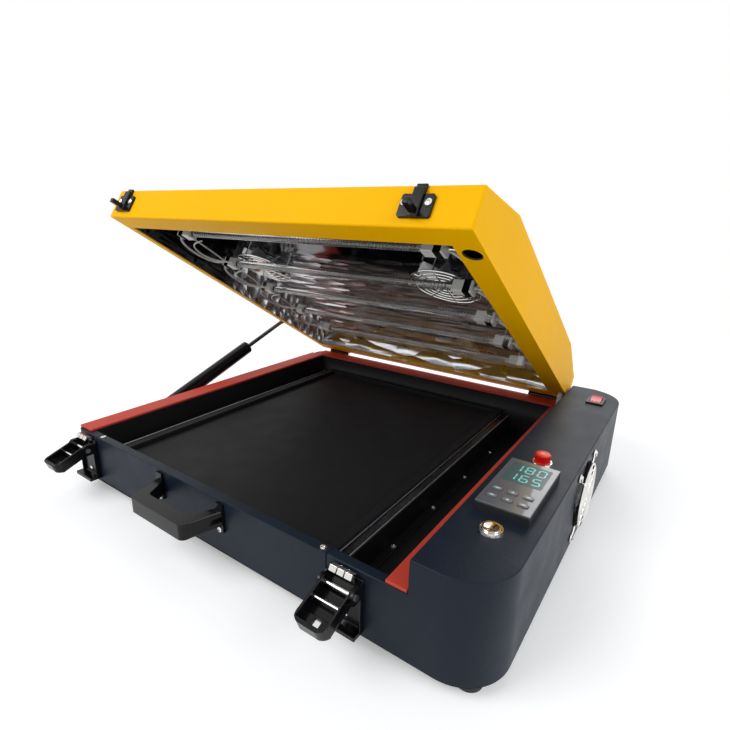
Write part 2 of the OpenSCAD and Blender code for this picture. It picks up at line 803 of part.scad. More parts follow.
// A plate that stands on edge, rounded at its corners, facing the front
module round_plate(low, high, r) {
  translate([0, high[1], 0]) rotate([90, 0, 0]) linear_extrude(high[1] - low[1])
    corner_rect([low[0], low[2]], [high[0], high[2]], [r, r, r, r]);
}

// Hinges

hinge_places = [lid_x0 + hinge_inset, lid_x1 - hinge_inset];
knuckle = hinge_w / 5;
leaf_screws = [-hinge_w / 3, 0, hinge_w / 3];
leaf_base_screw_z = rim_h - leaf_base_h + leaf_base_h / 4;
leaf_lid_screw_z = lid_z + leaf_lid_h - leaf_lid_h / 4;

// One knuckle with its arm: n counts from the left, arm is the outline that ties it to its leaf
module knuckle_at(n, arm) {
  translate([-hinge_w / 2 + n * knuckle + knuckle_gap / 2, 0, 0]) rotate([90, 0, 90])
    linear_extrude(knuckle - knuckle_gap) difference() {
      union() {
        translate([axis_y, axis_z]) circle(barrel_r);
        polygon(arm);
      }
      translate([axis_y, axis_z]) circle(hinge_pin_r + fit);
    }
}

module hinge_base_leaves() {
  arm = [
    [case_d, rim_h], [case_d, rim_h - leaf_base_h / 2], [case_d + leaf_t, rim_h - leaf_base_h / 2],
    [axis_y + barrel_r, axis_z], [axis_y, axis_z]
  ];
  color([0.06, 0.06, 0.07]) placed() for (x = hinge_places) translate([x, 0, 0]) {
    difference() {
      block([-hinge_w / 2, case_d, rim_h - leaf_base_h], [hinge_w / 2, case_d + leaf_t, rim_h]);
      for (dx = leaf_screws) rod_y([dx, case_d - over, leaf_base_screw_z], leaf_t + 2 * over, screw_r);
    }
    for (n = [0, 2, 4]) knuckle_at(n, arm);
  }
}

module hinge_lid_leaves() {
  arm = [
    [case_d, lid_z], [case_d, lid_z + leaf_lid_h / 2], [case_d + leaf_t, lid_z + leaf_lid_h / 2],
    [axis_y + barrel_r, axis_z], [axis_y, axis_z]
  ];
  color([0.06, 0.06, 0.07]) on_lid() for (x = hinge_places) translate([x, 0, 0]) {
    difference() {
      block([-hinge_w / 2, case_d, lid_z], [hinge_w / 2, case_d + leaf_t, lid_z + leaf_lid_h]);
      for (dx = leaf_screws) rod_y([dx, case_d - over, leaf_lid_screw_z], leaf_t + 2 * over, screw_r);
    }
    for (n = [1, 3]) knuckle_at(n, arm);
  }
}

module hinge_pins() {
  head = knuckle_gap * 4;
  color([0.8, 0.8, 0.82]) placed() for (x = hinge_places) {
    rod_x([x - hinge_w / 2 - head, axis_y, axis_z], hinge_w + 2 * head, hinge_pin_r);
    for (side = [-1, 1])
      rod_x([x + side * (hinge_w / 2 + head / 2) - head / 2, axis_y, axis_z], head,
        hinge_pin_r + sheet / 2);
  }
}

// Gas strut

strut_x = -strut_out;
plate_t = sheet;
stud_cap_h = sheet;
bore_r = cyl_r - cyl_wall;
eye_neck_r = eye_t / 2 - sheet / 2;

// A stud on a wall plate; wall is the x of the wall's outer face
module stud_on(wall, y, z) {
  end = strut_x - eye_t / 2 - stud_cap_h;
  plate = 2 * eye_r;
  round_side_plate(wall - plate_t, wall, [y, z], plate);
  rod_x([end, y, z], wall - plate_t - end, stud_r);
  rod_x([end, y, z], stud_cap_h, stud_r + sheet);
  rod_x([strut_x + eye_t / 2 + rail_gap, y, z], wall - plate_t - strut_x - eye_t / 2 - rail_gap,
    stud_r + sheet);
}

// A square plate with rounded corners against a side wall
module round_side_plate(x0, x1, c, w) {
  r = w / 6;
  translate([x0, 0, 0]) rotate([90, 0, 90]) linear_extrude(x1 - x0)
    corner_rect([c[0] - w / 2, c[1] - w / 2], [c[0] + w / 2, c[1] + w / 2], [r, r, r, r]);
}

module strut_base_stud() {
  color([0.3, 0.3, 0.32]) placed() stud_on(0, strut_low_y, strut_low_z);
}

module strut_lid_stud() {
  color([0.3, 0.3, 0.32]) on_lid() stud_on(lid_x0, strut_up[0], strut_up[1]);
}

// Draws along the strut: x stays, y runs from the lower eye to the upper one
module along_strut(from) {
  placed() translate([strut_x, strut_low_y, strut_low_z]) rotate([strut_angle, 0, 0])
    translate([0, from, 0]) children();
}

module eye(bore) {
  difference() {
    rod_x([-eye_t / 2, 0, 0], eye_t, eye_r);
    rod_x([-eye_t / 2 - over, 0, 0], eye_t + 2 * over, bore);
  }
}

module strut_cylinder() {
  neck = eye_r + cyl_wall;
  color([0.05, 0.05, 0.06]) along_strut(0) {
    difference() {
      union() {
        rod_x([-eye_t / 2, 0, 0], eye_t, eye_r);
        rod_y([0, 0, 0], neck + cyl_wall, eye_neck_r);
        rod_y([0, neck, 0], cyl_len - neck, cyl_r);
      }
      rod_x([-eye_t / 2 - over, 0, 0], eye_t + 2 * over, stud_r + fit);
      rod_y([0, neck + 2 * cyl_wall, 0], cyl_len, bore_r);
    }
  }
}

module strut_rod() {
  ferrule = 2 * eye_r;
  color([0.7, 0.7, 0.72]) along_strut(strut_len) difference() {
    union() {
      rod_x([-eye_t / 2, 0, 0], eye_t, eye_r);
      rod_y([0, -ferrule, 0], ferrule, eye_neck_r);
      rod_y([0, -rod_len, 0], rod_len, rod_r);
    }
    rod_x([-eye_t / 2 - over, 0, 0], eye_t + 2 * over, stud_r + fit);
  }
}

// Power inlet

inlet_body_w = 28;
inlet_body_h = 20;
inlet_depth = 18;
inlet_flange_t = 2.5;

module inlet_cut() {
  block([inlet_x - inlet_body_w / 2, case_d - sheet - over, inlet_z - inlet_body_h / 2],
    [inlet_x + inlet_body_w / 2, case_d + over, inlet_z + inlet_body_h / 2]);
}

module power_inlet() {
  y1 = case_d + inlet_flange_t;
  wall = sheet;
  color([0.05, 0.05, 0.05]) placed() difference() {
    union() {
      translate([inlet_x, 0, inlet_z])
        round_plate([-inlet_w / 2, case_d, -inlet_h / 2], [inlet_w / 2, y1, inlet_h / 2],
          inlet_h / 5);
      block([inlet_x - inlet_body_w / 2, case_d - inlet_depth, inlet_z - inlet_body_h / 2],
        [inlet_x + inlet_body_w / 2, case_d, inlet_z + inlet_body_h / 2]);
    }
    block([inlet_x - inlet_body_w / 2 + wall, case_d - inlet_depth + wall,
      inlet_z - inlet_body_h / 2 + wall],
      [inlet_x + inlet_body_w / 2 - wall, y1 + over, inlet_z + inlet_body_h / 2 - wall]);
    for (side = [-1, 1])
      rod_y([inlet_x + side * (inlet_w + inlet_body_w) / 4, case_d - over, inlet_z],
        inlet_flange_t + 2 * over, screw_r);
  }
}

module inlet_pins() {
  pin_w = 2 * sheet;
  pin_pitch = inlet_body_w / 4;
  color([0.8, 0.8, 0.8]) placed() for (i = [-1, 0, 1])
    translate([inlet_x + i * pin_pitch, case_d - inlet_depth + sheet,
      inlet_z + (i == 0 ? 1 : -1) * pin_w])
      block([-pin_w / 4, 0, -pin_w / 2], [pin_w / 4, inlet_depth - 4 * sheet, pin_w / 2]);
}

// Controller

face_z = box_h + ctrl_h - face_t;
key_cols = [-1, 0, 1];
key_well = 2 * key_h;

function key_at(n) = [
  panel_x + key_cols[n % 3] * key_pitch,
  ctrl_y + key_pitch + (n < 3 ? 1 : 0) * key_pitch
];

module key_block(n, gap, z0, z1) {
  p = key_at(n);
  r = key_l / 3;
  round_block([p[0] - key_w / 2 - gap, p[1] - key_l / 2 - gap, z0],
    [p[0] + key_w / 2 + gap, p[1] + key_l / 2 + gap, z1], r);
}

module controller_case() {
  body = ctrl_step + button_gap;
  color([0.05, 0.05, 0.06]) placed() difference() {
    union() {
      block([ctrl_x, ctrl_y, box_h], [ctrl_x + ctrl_w, ctrl_y + ctrl_l, face_z]);
      block([ctrl_x + body, ctrl_y + body, box_h - ctrl_body_d],
        [ctrl_x + ctrl_w - body, ctrl_y + ctrl_l - body, box_h]);
    }
    for (n = [0 : 5]) key_block(n, button_gap, face_z - key_well, face_z + over);
  }
}

module controller_face() {
  color([0.32, 0.34, 0.36]) placed() difference() {
    block([ctrl_x, ctrl_y, face_z], [ctrl_x + ctrl_w, ctrl_y + ctrl_l, face_z + face_t]);
    for (n = [0 : 5]) key_block(n, button_gap, face_z - over, face_z + face_t + over);
  }
}

module key(n) {
  color([0.6, 0.61, 0.62]) placed()
    key_block(n, 0, face_z - key_h + button_gap, face_z + face_t + key_h);
}

// Buttons

module button_bezels() {
  nut_h = 2 * bezel_h;
  color([0.75, 0.74, 0.7]) placed() for (y = [steel_y, red_y]) difference() {
    union() {
      translate([panel_x, y, box_h]) cylinder(h = bezel_h, r1 = bezel_r, r2 = bezel_r - sheet / 2);
      rod_z([panel_x, y, box_h - sheet - nut_h], nut_h + sheet + over, button_r + sheet);
      rod_z([panel_x, y, box_h - sheet - nut_h], nut_h, bezel_r);
    }
    rod_z([panel_x, y, box_h - sheet - nut_h - over], nut_h + sheet + bezel_h + 2 * over,
      button_r + button_gap);
  }
}

module steel_button() {
  dish_r = 2 * button_r;
  body = 3 * bezel_h;
  top = box_h + bezel_h + bezel_h / 2;
  color([0.7, 0.68, 0.63]) placed() difference() {
    rod_z([panel_x, steel_y, box_h - body], top - box_h + body, button_r);
    translate([panel_x, steel_y, top + dish_r - bezel_h / 2]) sphere(dish_r);
  }
}

module red_button() {
  body = 3 * bezel_h;
  top = box_h + bezel_h + red_h;
  edge = bezel_h / 2;
  color([0.75, 0.08, 0.05]) placed() {
    rod_z([panel_x, red_y, box_h - body], top - edge - box_h + body, button_r);
    translate([panel_x, red_y, top - edge]) cylinder(h = edge, r1 = button_r, r2 = button_r - edge);
  }
}

rocker_rise = 2.5;
rocker_wall = 2;

module rocker_frame() {
  depth = 18;
  x0 = rocker_x - rocker_w / 2;
  x1 = rocker_x + rocker_w / 2;
  y0 = rocker_y - rocker_l / 2;
  y1 = rocker_y + rocker_l / 2;
  step_in = sheet + button_gap;
  color([0.08, 0.05, 0.05]) placed() difference() {
    union() {
      block([x0, y0, box_h], [x1, y1, box_h + rocker_rise]);
      block([x0 + step_in, y0 + step_in, box_h - depth], [x1 - step_in, y1 - step_in, box_h]);
    }
    block([x0 + step_in + rocker_wall, y0 + step_in + rocker_wall, box_h - depth + rocker_wall],
      [x1 - step_in - rocker_wall, y1 - step_in - rocker_wall, box_h + rocker_rise + over]);
    rod_x([x0 + step_in - over, rocker_y, box_h], rocker_w, sheet + fit);
  }
}

module rocker() {
  step_in = sheet + 2 * button_gap + rocker_wall;
  half_w = rocker_w / 2 - step_in;
  half_l = rocker_l / 2 - step_in - button_gap;
  rise = half_l * tan(rocker_tilt);
  color([0.8, 0.05, 0.05]) placed() translate([rocker_x, rocker_y, box_h])
    rotate([rocker_tilt, 0, 0]) {
      translate([-half_w, 0, 0]) rotate([90, 0, 90]) linear_extrude(2 * half_w) polygon([
        [-half_l + rocker_rise, -rocker_rise], [half_l - rocker_rise, -rocker_rise],
        [half_l, rocker_rise + rise], [0, rocker_rise], [-half_l, rocker_rise + rise]
      ]);
      rod_x([-half_w - rocker_wall, 0, 0], 2 * half_w + 2 * rocker_wall, sheet);
    }
}

// Cooling fan on the right wall

fan_x1 = case_w - sheet;
fan_x0 = fan_x1 - fan_d;
hub_r = fan_size / 5;
fan_in_r = fan_size / 2 - 2 * sheet;
fan_screw_at = fan_size / 2 - 3 * sheet;

module fan_frame() {
  strut_w = 2 * sheet;
  color([0.07, 0.07, 0.08]) placed() difference() {
    union() {
      difference() {
        translate([fan_x0, fan_y, fan_z]) rotate([90, 0, 90]) linear_extrude(fan_d)
          corner_rect([-fan_size / 2, -fan_size / 2], [fan_size / 2, fan_size / 2],
            [2 * sheet, 2 * sheet, 2 * sheet, 2 * sheet]);
        rod_x([fan_x0 - over, fan_y, fan_z], fan_d + 2 * over, fan_in_r);
      }
      // The motor seat on its arms at the inner side
      rod_x([fan_x0, fan_y, fan_z], strut_w, hub_r);
      block([fan_x0, fan_y - fan_in_r - sheet, fan_z - strut_w / 2],
        [fan_x0 + strut_w, fan_y + fan_in_r + sheet, fan_z + strut_w / 2]);
      block([fan_x0, fan_y - strut_w / 2, fan_z - fan_in_r - sheet],
        [fan_x0 + strut_w, fan_y + strut_w / 2, fan_z + fan_in_r + sheet]);
      rod_x([fan_x0, fan_y, fan_z], fan_d / 2, sheet);
    }
    for (a = [-1, 1], b = [-1, 1])
      rod_x([fan_x0 - over, fan_y + a * fan_screw_at, fan_z + b * fan_screw_at],
        fan_d + 2 * over, screw_r);
  }
}

// Blades and hub around x, turned by a loop; seat is the bore for the fan's own spindle
module rotor_x(x0, x1, r, hub, seat) {
  blade_t = sheet;
  pitch_angle = 35;
  difference() {
    union() {
      rod_x([x0, 0, 0], x1 - x0, hub);
      for (i = [0 : blades - 1]) rotate([i * 360 / blades, 0, 0])
        translate([(x0 + x1) / 2, 0, hub - sheet]) rotate([0, 0, pitch_angle])
          block([-(x1 - x0) / 2 + sheet / 2, -blade_t / 2, 0],
            [(x1 - x0) / 2 - sheet / 2, blade_t / 2, r - hub + sheet]);
    }
    rod_x([x0 - over, 0, 0], x1 - x0 - 2 * sheet + over, seat);
  }
}

module fan_rotor() {
  gap = sheet;
  color([0.09, 0.09, 0.1]) placed() translate([0, fan_y, fan_z])
    rotor_x(fan_x0 + 2 * sheet + gap / 2, fan_x1 - gap, fan_in_r - gap, hub_r, sheet + fit);
}

// Rings around x, tied by four bars that cross in the middle, all of square wire
module wire_guard(rings, r_in, r_out) {
  gap_r = (r_out - r_in) / (rings - 1);
  for (i = [0 : rings - 1])
    rotate([0, 90, 0]) rotate_extrude() translate([r_in + i * gap_r - wire_r, -wire_r])
      square(2 * wire_r);
  for (a = [0, 45, 90, 135])
    rotate([a, 0, 0]) block([-wire_r, -wire_r, -r_out], [wire_r, wire_r, r_out]);
}

module fan_guard() {
  x = case_w + guard_out - wire_r;
  color([0.82, 0.82, 0.84]) placed() {
    translate([x, fan_y, fan_z]) wire_guard(guard_rings, hub_r / 2, fan_in_r - wire_r);
    // Feet at the corners, down to the wall
    for (a = [-1, 1], b = [-1, 1]) {
      at = [fan_y + a * fan_screw_at, fan_z + b * fan_screw_at];
      difference() {
        rod_x([case_w, at[0], at[1]], 2 * wire_r, screw_head_r);
        rod_x([case_w - over, at[0], at[1]], 2 * wire_r + 2 * over, screw_r);
      }
    }
    for (a = [45 : 90 : 315]) {
      r0 = fan_in_r - wire_r;
      translate([0, fan_y, fan_z]) rotate([a, 0, 0]) {
        block([case_w, -wire_r, r0 - wire_r], [x, wire_r, r0 + wire_r]);
        block([case_w, -wire_r, r0], [case_w + 2 * wire_r, wire_r,
          fan_screw_at * sqrt(2) - screw_r - wire_r / 2]);
      }
    }
  }
}

// Electrical parts in the control box

module power_supply() {
  w = 38;
  l = 100;
  x0 = box_x + 4 * sheet;
  color([0.7, 0.7, 0.68]) placed()
    block([x0, ctrl_y, sheet], [x0 + w, ctrl_y + l, sheet + supply_h]);
}

module solid_state_relay() {
  w = 45;
  l = 58;
  h = 26;
  sink = 6;
  fan_gap = 28;
  x0 = panel_x - w / 2;
  y0 = fan_y + fan_size / 2 + fan_gap;
  color([0.85, 0.85, 0.85]) placed() {
    block([x0, y0, sheet], [x0 + w, y0 + l, sheet + sink]);
    round_block([x0 + sheet, y0 + sheet, sheet + sink],
      [x0 + w - sheet, y0 + l - sheet, sheet + sink + h], 2 * sheet);
  }
}

module case_screws() {
  color([0.78, 0.77, 0.74]) placed() {
    // Hinge leaves
    for (x = hinge_places, dx = leaf_screws)
      translate([x + dx, case_d + leaf_t, leaf_base_screw_z]) rotate([-90, 0, 0]) screw(leaf_t);
    // Latch bases
    for (x = latch_places) translate([x, -latch_t, latch_low_z + 3 * screw_head_r])
      rotate([90, 0, 0]) screw(0);
    // Inlet flange
    for (side = [-1, 1])
      translate([inlet_x + side * (inlet_w + inlet_body_w) / 4, case_d + inlet_flange_t, inlet_z])
        rotate([-90, 0, 0]) screw(inlet_flange_t);
    // Guard feet
    for (a = [-1, 1], b = [-1, 1])
      translate([case_w + 2 * wire_r, fan_y + a * fan_screw_at, fan_z + b * fan_screw_at])
        rotate([0, 90, 0]) screw(2 * wire_r);
    // Feet of the slide brackets
    for (s = slide_side, i = [1 : 4])
      translate([s[1] + (s[0] == 0 ? -1 : 1) * 4 * sheet,
        slide_y0 + i * slide_len / 5, floor_z + 2 * sheet]) screw(0);
  }
}

// Lid

slope = (lid_h - lid_wall_h) / lid_slope_d;
slope_q = sqrt(1 + slope * slope);

// The lid's side outline, drawn in by an inset all round; the mouth stays at the given height
module lid_profile(inset, mouth) {
  y0 = lid_y0 + inset;
  y1 = case_d - inset;
  top = lid_h - inset;
  knee = lid_wall_h + slope * inset - inset * slope_q;
  brow = (top - lid_wall_h + inset * slope_q) / slope;
  polygon([
    [y0, mouth], [y0, knee], [lid_y0 + brow, top], [case_d - brow, top], [y1, knee], [y1, mouth]
  ]);
}

// A solid with that outline between two places along x
module lid_body(x0, x1, inset, mouth) {
  translate([x0, 0, lid_z]) rotate([90, 0, 90]) linear_extrude(x1 - x0)
    lid_profile(inset, mouth);
}

module lid_shell() {
  color([0.95, 0.72, 0.02]) on_lid() difference() {
    lid_body(lid_x0, lid_x1, 0, 0);
    lid_body(lid_x0 + sheet, lid_x1 - sheet, sheet, sheet);
    // The mouth
    block([lid_x0 + lid_flange_left_w, lid_y0 + lid_flange_w, lid_z - over],
      [lid_x1 - lid_flange_w, case_d - lid_flange_w, lid_z + 2 * sheet]);
    rod_z([lid_x1 - lid_flange_w / 2, lid_y0 + flange_hole_y, lid_z - over], sheet + 2 * over,
      flange_hole_r);
    rod_z([conduit_x, conduit_y, lid_z - over], sheet + 2 * over, conduit_hole_r);
  }
}

// The bright inner pan that throws the heat down
refl_x0 = lid_x0 + reflector_gap;
refl_x1 = lid_x1 - lid_flange_w;
refl_inset = reflector_gap + sheet;

module reflector() {
  color([0.62, 0.62, 0.62]) on_lid() difference() {
    lid_body(refl_x0, refl_x1, refl_inset, sheet);
    lid_body(refl_x0 + reflector_t, refl_x1 - reflector_t, refl_inset + reflector_t,
      sheet - over);
  }
}

// Height of the reflector's inner face at a place along y
refl_in = refl_inset + reflector_t;
function refl_roof(y) = lid_z + min(
  lid_h - refl_in,
  lid_wall_h + slope * (y - lid_y0) - refl_in * slope_q,
  lid_wall_h + slope * (case_d - y) - refl_in * slope_q
);

tube_mid_x = (refl_x0 + refl_x1) / 2;
tube_x0 = refl_x0 + tube_end_gap;
tube_x1 = refl_x1 - tube_end_gap;
tube_len = tube_x1 - tube_x0;
tube_mid_y = lid_y0 + (case_d - lid_y0) / 2;
tube_ys = [for (i = [0 : tubes - 1]) tube_mid_y + (i - (tubes - 1) / 2) * tube_pitch];

module quartz_tubes() {
  color([0.9, 0.9, 0.86]) on_lid() for (y = tube_ys)
    rod_x([tube_x0, y, lid_z + tube_z], tube_len, tube_r);
}

module ceramic_ends() {
  half = ceramic_w / 2;
  color([0.93, 0.92, 0.88]) on_lid() for (y = tube_ys, end = [0, 1]) {
    x = end == 0 ? tube_x0 : tube_x1;
    translate([x, y, lid_z + tube_z]) mirror([end, 0, 0])
      translate([-ceramic_l, 0, 0]) rotate([90, 0, 90]) linear_extrude(ceramic_l)
        corner_rect([-half, -half], [half, half], [sheet, sheet, sheet, sheet]);
  }
}

// A strap from the reflector's roof down to each ceramic end
module lamp_clips() {
  strap_w = ceramic_w / 2;
  hold = ceramic_w / 2;
  color([0.75, 0.75, 0.75]) on_lid() for (y = tube_ys, x = [tube_x0 - ceramic_l / 2,
    tube_x1 + ceramic_l / 2]) {
    roof = min(refl_roof(y - strap_w / 2), refl_roof(y + strap_w / 2));
    block([x - hold / 2, y - strap_w / 2, lid_z + tube_z + hold],
      [x + hold / 2, y + strap_w / 2, lid_z + tube_z + hold + sheet]);
    block([x - sheet / 2, y - strap_w / 2, lid_z + tube_z + hold + sheet],
      [x + sheet / 2, y + strap_w / 2, roof]);
  }
}

// A tube swept along points, with an eight-sided ring at each
ring_n = 8;
function unit(v) = v / norm(v);
function ring_at(p, dir, r) =
  let (side = unit(cross(dir, [0, 0, 1])), up = cross(side, dir))
  [for (k = [0 : ring_n - 1]) p + r * (cos(k * 360 / ring_n) * side + sin(k * 360 / ring_n) * up)];

module swept(path, r) {
  last = len(path) - 1;
  dirs = [for (i = [0 : last]) unit(path[min(i + 1, last)] - path[max(i - 1, 0)])];
  points = [for (i = [0 : last]) each ring_at(path[i], dirs[i], r)];
  caps = [[for (k = [0 : ring_n - 1]) k], [for (k = [ring_n - 1 : -1 : 0]) last * ring_n + k]];
  sides = [for (i = [0 : last - 1], k = [0 : ring_n - 1]) let (
    a = i * ring_n + k, b = i * ring_n + (k + 1) % ring_n, c = b + ring_n, d = a + ring_n)
    each [[a, d, c], [a, c, b]]];
  polyhedron(points, concat(caps, sides));
}

// A lead's path from one ceramic end to the next: it comes straight out of the ceramic, bows out
// sideways and sags a little
lead_bow = 20;
lead_sag = 8;
lead_rings = 14;
lead_off = 1.3 * lead_r;
function lead_path(x, y0, y1, side) = [
  [x, y0, lid_z + tube_z],
  for (i = [0 : lead_rings]) let (t = i / lead_rings, s = sin(t * 180))
    [x + side * (lead_r + lead_bow * pow(s, 0.8)), y0 + (y1 - y0) * (t - sin(t * 360) / 9),
      lid_z + tube_z - lead_sag * s],
  [x, y1, lid_z + tube_z]
];

module heater_leads() {
  color([0.92, 0.92, 0.9]) on_lid() for (i = [0 : tubes - 2]) {
    y0 = tube_ys[i] + lead_off;
    y1 = tube_ys[i + 1] - lead_off;
    swept(lead_path(tube_x0 - ceramic_l, y0, y1, -1), lead_r);
    swept(lead_path(tube_x1 + ceramic_l, y0, y1, 1), lead_r);
  }
}

lid_fans = [lid_x0 + lid_fan_inset, 2 * tube_mid_x - lid_x0 - lid_fan_inset];
lid_hub_r = lid_fan_r / 4;
lid_roof_z = roof_z - refl_in;

module lid_fan_guards() {
  z = lid_z + lid_guard_z + wire_r;
  color([0.8, 0.8, 0.8]) on_lid() for (x = lid_fans) translate([x, lid_y0 + lid_fan_y, 0]) {
    translate([0, 0, z]) rotate([0, 90, 0]) wire_guard(guard_rings, lid_hub_r, lid_fan_r);
    // Legs up to the reflector
    for (a = [0 : 90 : 270]) rotate([0, 0, a])
      block([lid_fan_r - wire_r, -wire_r, z], [lid_fan_r + wire_r, wire_r, lid_roof_z]);
    // The spindle that carries the rotor
    rod_z([0, 0, lid_roof_z - 2 * lid_hub_r / 3], 2 * lid_hub_r / 3, sheet);
  }
}

module lid_rotor(x) {
  z0 = lid_z + lid_guard_z + 3 * wire_r;
  z1 = lid_roof_z - sheet;
  color([0.75, 0.75, 0.76]) on_lid() translate([x, lid_y0 + lid_fan_y, 0])
    rotate([0, -90, 0]) mirror([1, 0, 0]) translate([-z0 - z1, 0, 0])
      rotor_x(z0, z1, lid_fan_r - 3 * wire_r, lid_hub_r, sheet + fit);
}

module left_fan_rotor() {
  lid_rotor(lid_fans[0]);
}

module right_fan_rotor() {
  lid_rotor(lid_fans[1]);
}

badge_x = (lid_x0 + lid_x1) / 2;
badge_y = (lid_y0 + case_d) / 2;

module badge_ring() {
  lip = badge_ring_w / 2;
  color([0.82, 0.82, 0.84]) on_lid() translate([badge_x, badge_y, roof_z]) rotate_extrude()
    polygon([
      [badge_r - badge_ring_w, 0], [badge_r, 0], [badge_r, badge_h / 4],
      [badge_r - lip / 2, badge_h], [badge_r - lip, badge_h],
      [badge_r - badge_ring_w, badge_h / 2]
    ]);
}

module badge_dome() {
  in_r = badge_r - badge_ring_w;
  rise = badge_h / 2;
  dome_r = (in_r * in_r + rise * rise) / (2 * rise);
  color([0.08, 0.1, 0.2]) on_lid() translate([badge_x, badge_y, roof_z]) {
    intersection() {
      translate([0, 0, rise + rise - dome_r]) sphere(dome_r, $fn = 96);
      rod_z([0, 0, 0], badge_h, in_r);
    }
  }
}

// The sleeve of the heating leads: an arc around the hinge axis, from the lid into the case
conduit_up = 35;
conduit_down = 50;

module lead_conduit() {
  color([0.85, 0.85, 0.83]) on_lid() translate([conduit_x, axis_y, axis_z])
    rotate([0, -90, 0]) rotate([0, 0, -90 - conduit_down])
      rotate_extrude(angle = conduit_down + conduit_up, $fn = 96)
        translate([conduit_arc_r, 0]) circle(conduit_r, $fn = 24);
}

module lid_screws() {
  z0 = lever_z + catch_s - catch_w / 2 - sheet;
  color([0.78, 0.77, 0.74]) on_lid() {
    for (x = hinge_places, dx = leaf_screws)
      translate([x + dx, case_d + leaf_t, leaf_lid_screw_z]) rotate([-90, 0, 0]) screw(leaf_t);
    for (x = latch_places, side = [-1, 1])
      translate([x + side * (keeper_w / 2 - screw_head_r - sheet / 2), lid_y0 - keeper_t,
        z0 + keeper_h / 2]) rotate([90, 0, 0]) screw(0);
  }
}

base_case();
bottom_plate();
cavity_liner();
insulation_boards();
rubber_feet();
seal_strips();
rail_brackets();
outer_rails();
middle_rails();
inner_rails();
drawer_front();
tray();
handle();
drawer_screws();
latch_bases();
latch_metal();
left_lever();
right_lever();
keepers();
hinge_base_leaves();
hinge_lid_leaves();
hinge_pins();
strut_base_stud();
strut_lid_stud();
strut_cylinder();
strut_rod();
power_inlet();
inlet_pins();
controller_case();
controller_face();
key(0);  // key_1
key(1);  // key_2
key(2);  // key_3
key(3);  // key_4
key(4);  // key_5
key(5);  // key_6
button_bezels();
steel_button();
red_button();
rocker_frame();
rocker();
fan_frame();
fan_guard();
fan_rotor();
power_supply();
solid_state_relay();
case_screws();
lid_shell();
reflector();
quartz_tubes();
ceramic_ends();
lamp_clips();
heater_leads();
lid_fan_guards();
left_fan_rotor();
right_fan_rotor();
badge_ring();
badge_dome();
lead_conduit();
lid_screws();
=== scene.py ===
# %% [markdown]
# A curing oven for printed transfer film, dressed for a studio picture.
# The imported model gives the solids, their places and what moves. This script rounds their edges,
# adds the small pieces that make the oven look real, and gives each surface its finish.
# Everything is in metres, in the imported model's own frame, with the lid open as in the photograph.

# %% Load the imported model
import json
from math import cos, pi, radians, sin
import bmesh
import bpy
from mathutils import Matrix, Quaternion, Vector


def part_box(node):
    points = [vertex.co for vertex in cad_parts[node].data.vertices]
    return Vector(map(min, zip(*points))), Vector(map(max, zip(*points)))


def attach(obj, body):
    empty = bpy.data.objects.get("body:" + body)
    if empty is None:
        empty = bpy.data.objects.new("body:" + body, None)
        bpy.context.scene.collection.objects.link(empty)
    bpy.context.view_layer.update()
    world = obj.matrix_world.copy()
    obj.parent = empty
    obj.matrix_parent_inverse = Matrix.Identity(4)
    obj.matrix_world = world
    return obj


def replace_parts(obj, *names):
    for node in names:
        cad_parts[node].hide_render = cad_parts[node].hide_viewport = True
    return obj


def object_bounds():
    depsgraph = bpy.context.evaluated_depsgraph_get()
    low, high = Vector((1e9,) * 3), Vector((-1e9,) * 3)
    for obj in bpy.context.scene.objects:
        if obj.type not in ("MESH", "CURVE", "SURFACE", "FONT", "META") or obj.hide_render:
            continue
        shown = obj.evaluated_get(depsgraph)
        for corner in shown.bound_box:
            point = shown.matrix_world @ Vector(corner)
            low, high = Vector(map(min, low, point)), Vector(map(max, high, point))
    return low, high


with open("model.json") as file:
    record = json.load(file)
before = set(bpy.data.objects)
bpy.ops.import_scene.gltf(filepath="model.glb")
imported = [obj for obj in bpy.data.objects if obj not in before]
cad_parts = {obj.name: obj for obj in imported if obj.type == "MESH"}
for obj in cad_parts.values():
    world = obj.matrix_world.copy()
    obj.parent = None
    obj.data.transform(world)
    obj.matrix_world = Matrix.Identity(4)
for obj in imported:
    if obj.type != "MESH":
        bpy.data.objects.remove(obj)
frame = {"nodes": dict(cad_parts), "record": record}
cad_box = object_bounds()
record = frame["record"]
MM = 0.001

# %% [markdown]
# Places on the oven are easiest to say as a fitter would measure them: in millimetres from the
# case's front left bottom corner. The lid's own places are easier still while it is closed, so a
# second helper opens such a point about the hinge, by the angle that the joint states.

# %% Places on the case and on the lid
case_corner = Vector(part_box("base_case")[0])
joints = {j["name"]: j for j in record["behaviour"]["joints"]}
hinge_at = Vector(joints["lid_hinge"]["pos_m"])
lid_open = radians(joints["lid_hinge"]["range_deg"][1])
to_hinge = Matrix.Translation(hinge_at)
lid_turn = to_hinge @ Matrix.Rotation(-lid_open, 4, "X") @ to_hinge.inverted()


def on_case(x, y, z):
    return case_corner + Vector((x, y, z)) * MM


def on_lid(x, y, z):
    return lid_turn @ on_case(x, y, z)


body_of = {n: b for b, nodes in record["behaviour"]["bodies"].items() for n in nodes}
slot_of = {s["node"]: s["material_slot"] for s in record["subparts"]}
print("hinge axis at", [round(v, 4) for v in hinge_at])

# %% [markdown]
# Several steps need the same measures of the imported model, such as where its hinges, latches and
# fans stand. They get their names here, once, so that the steps below can say what they mean.

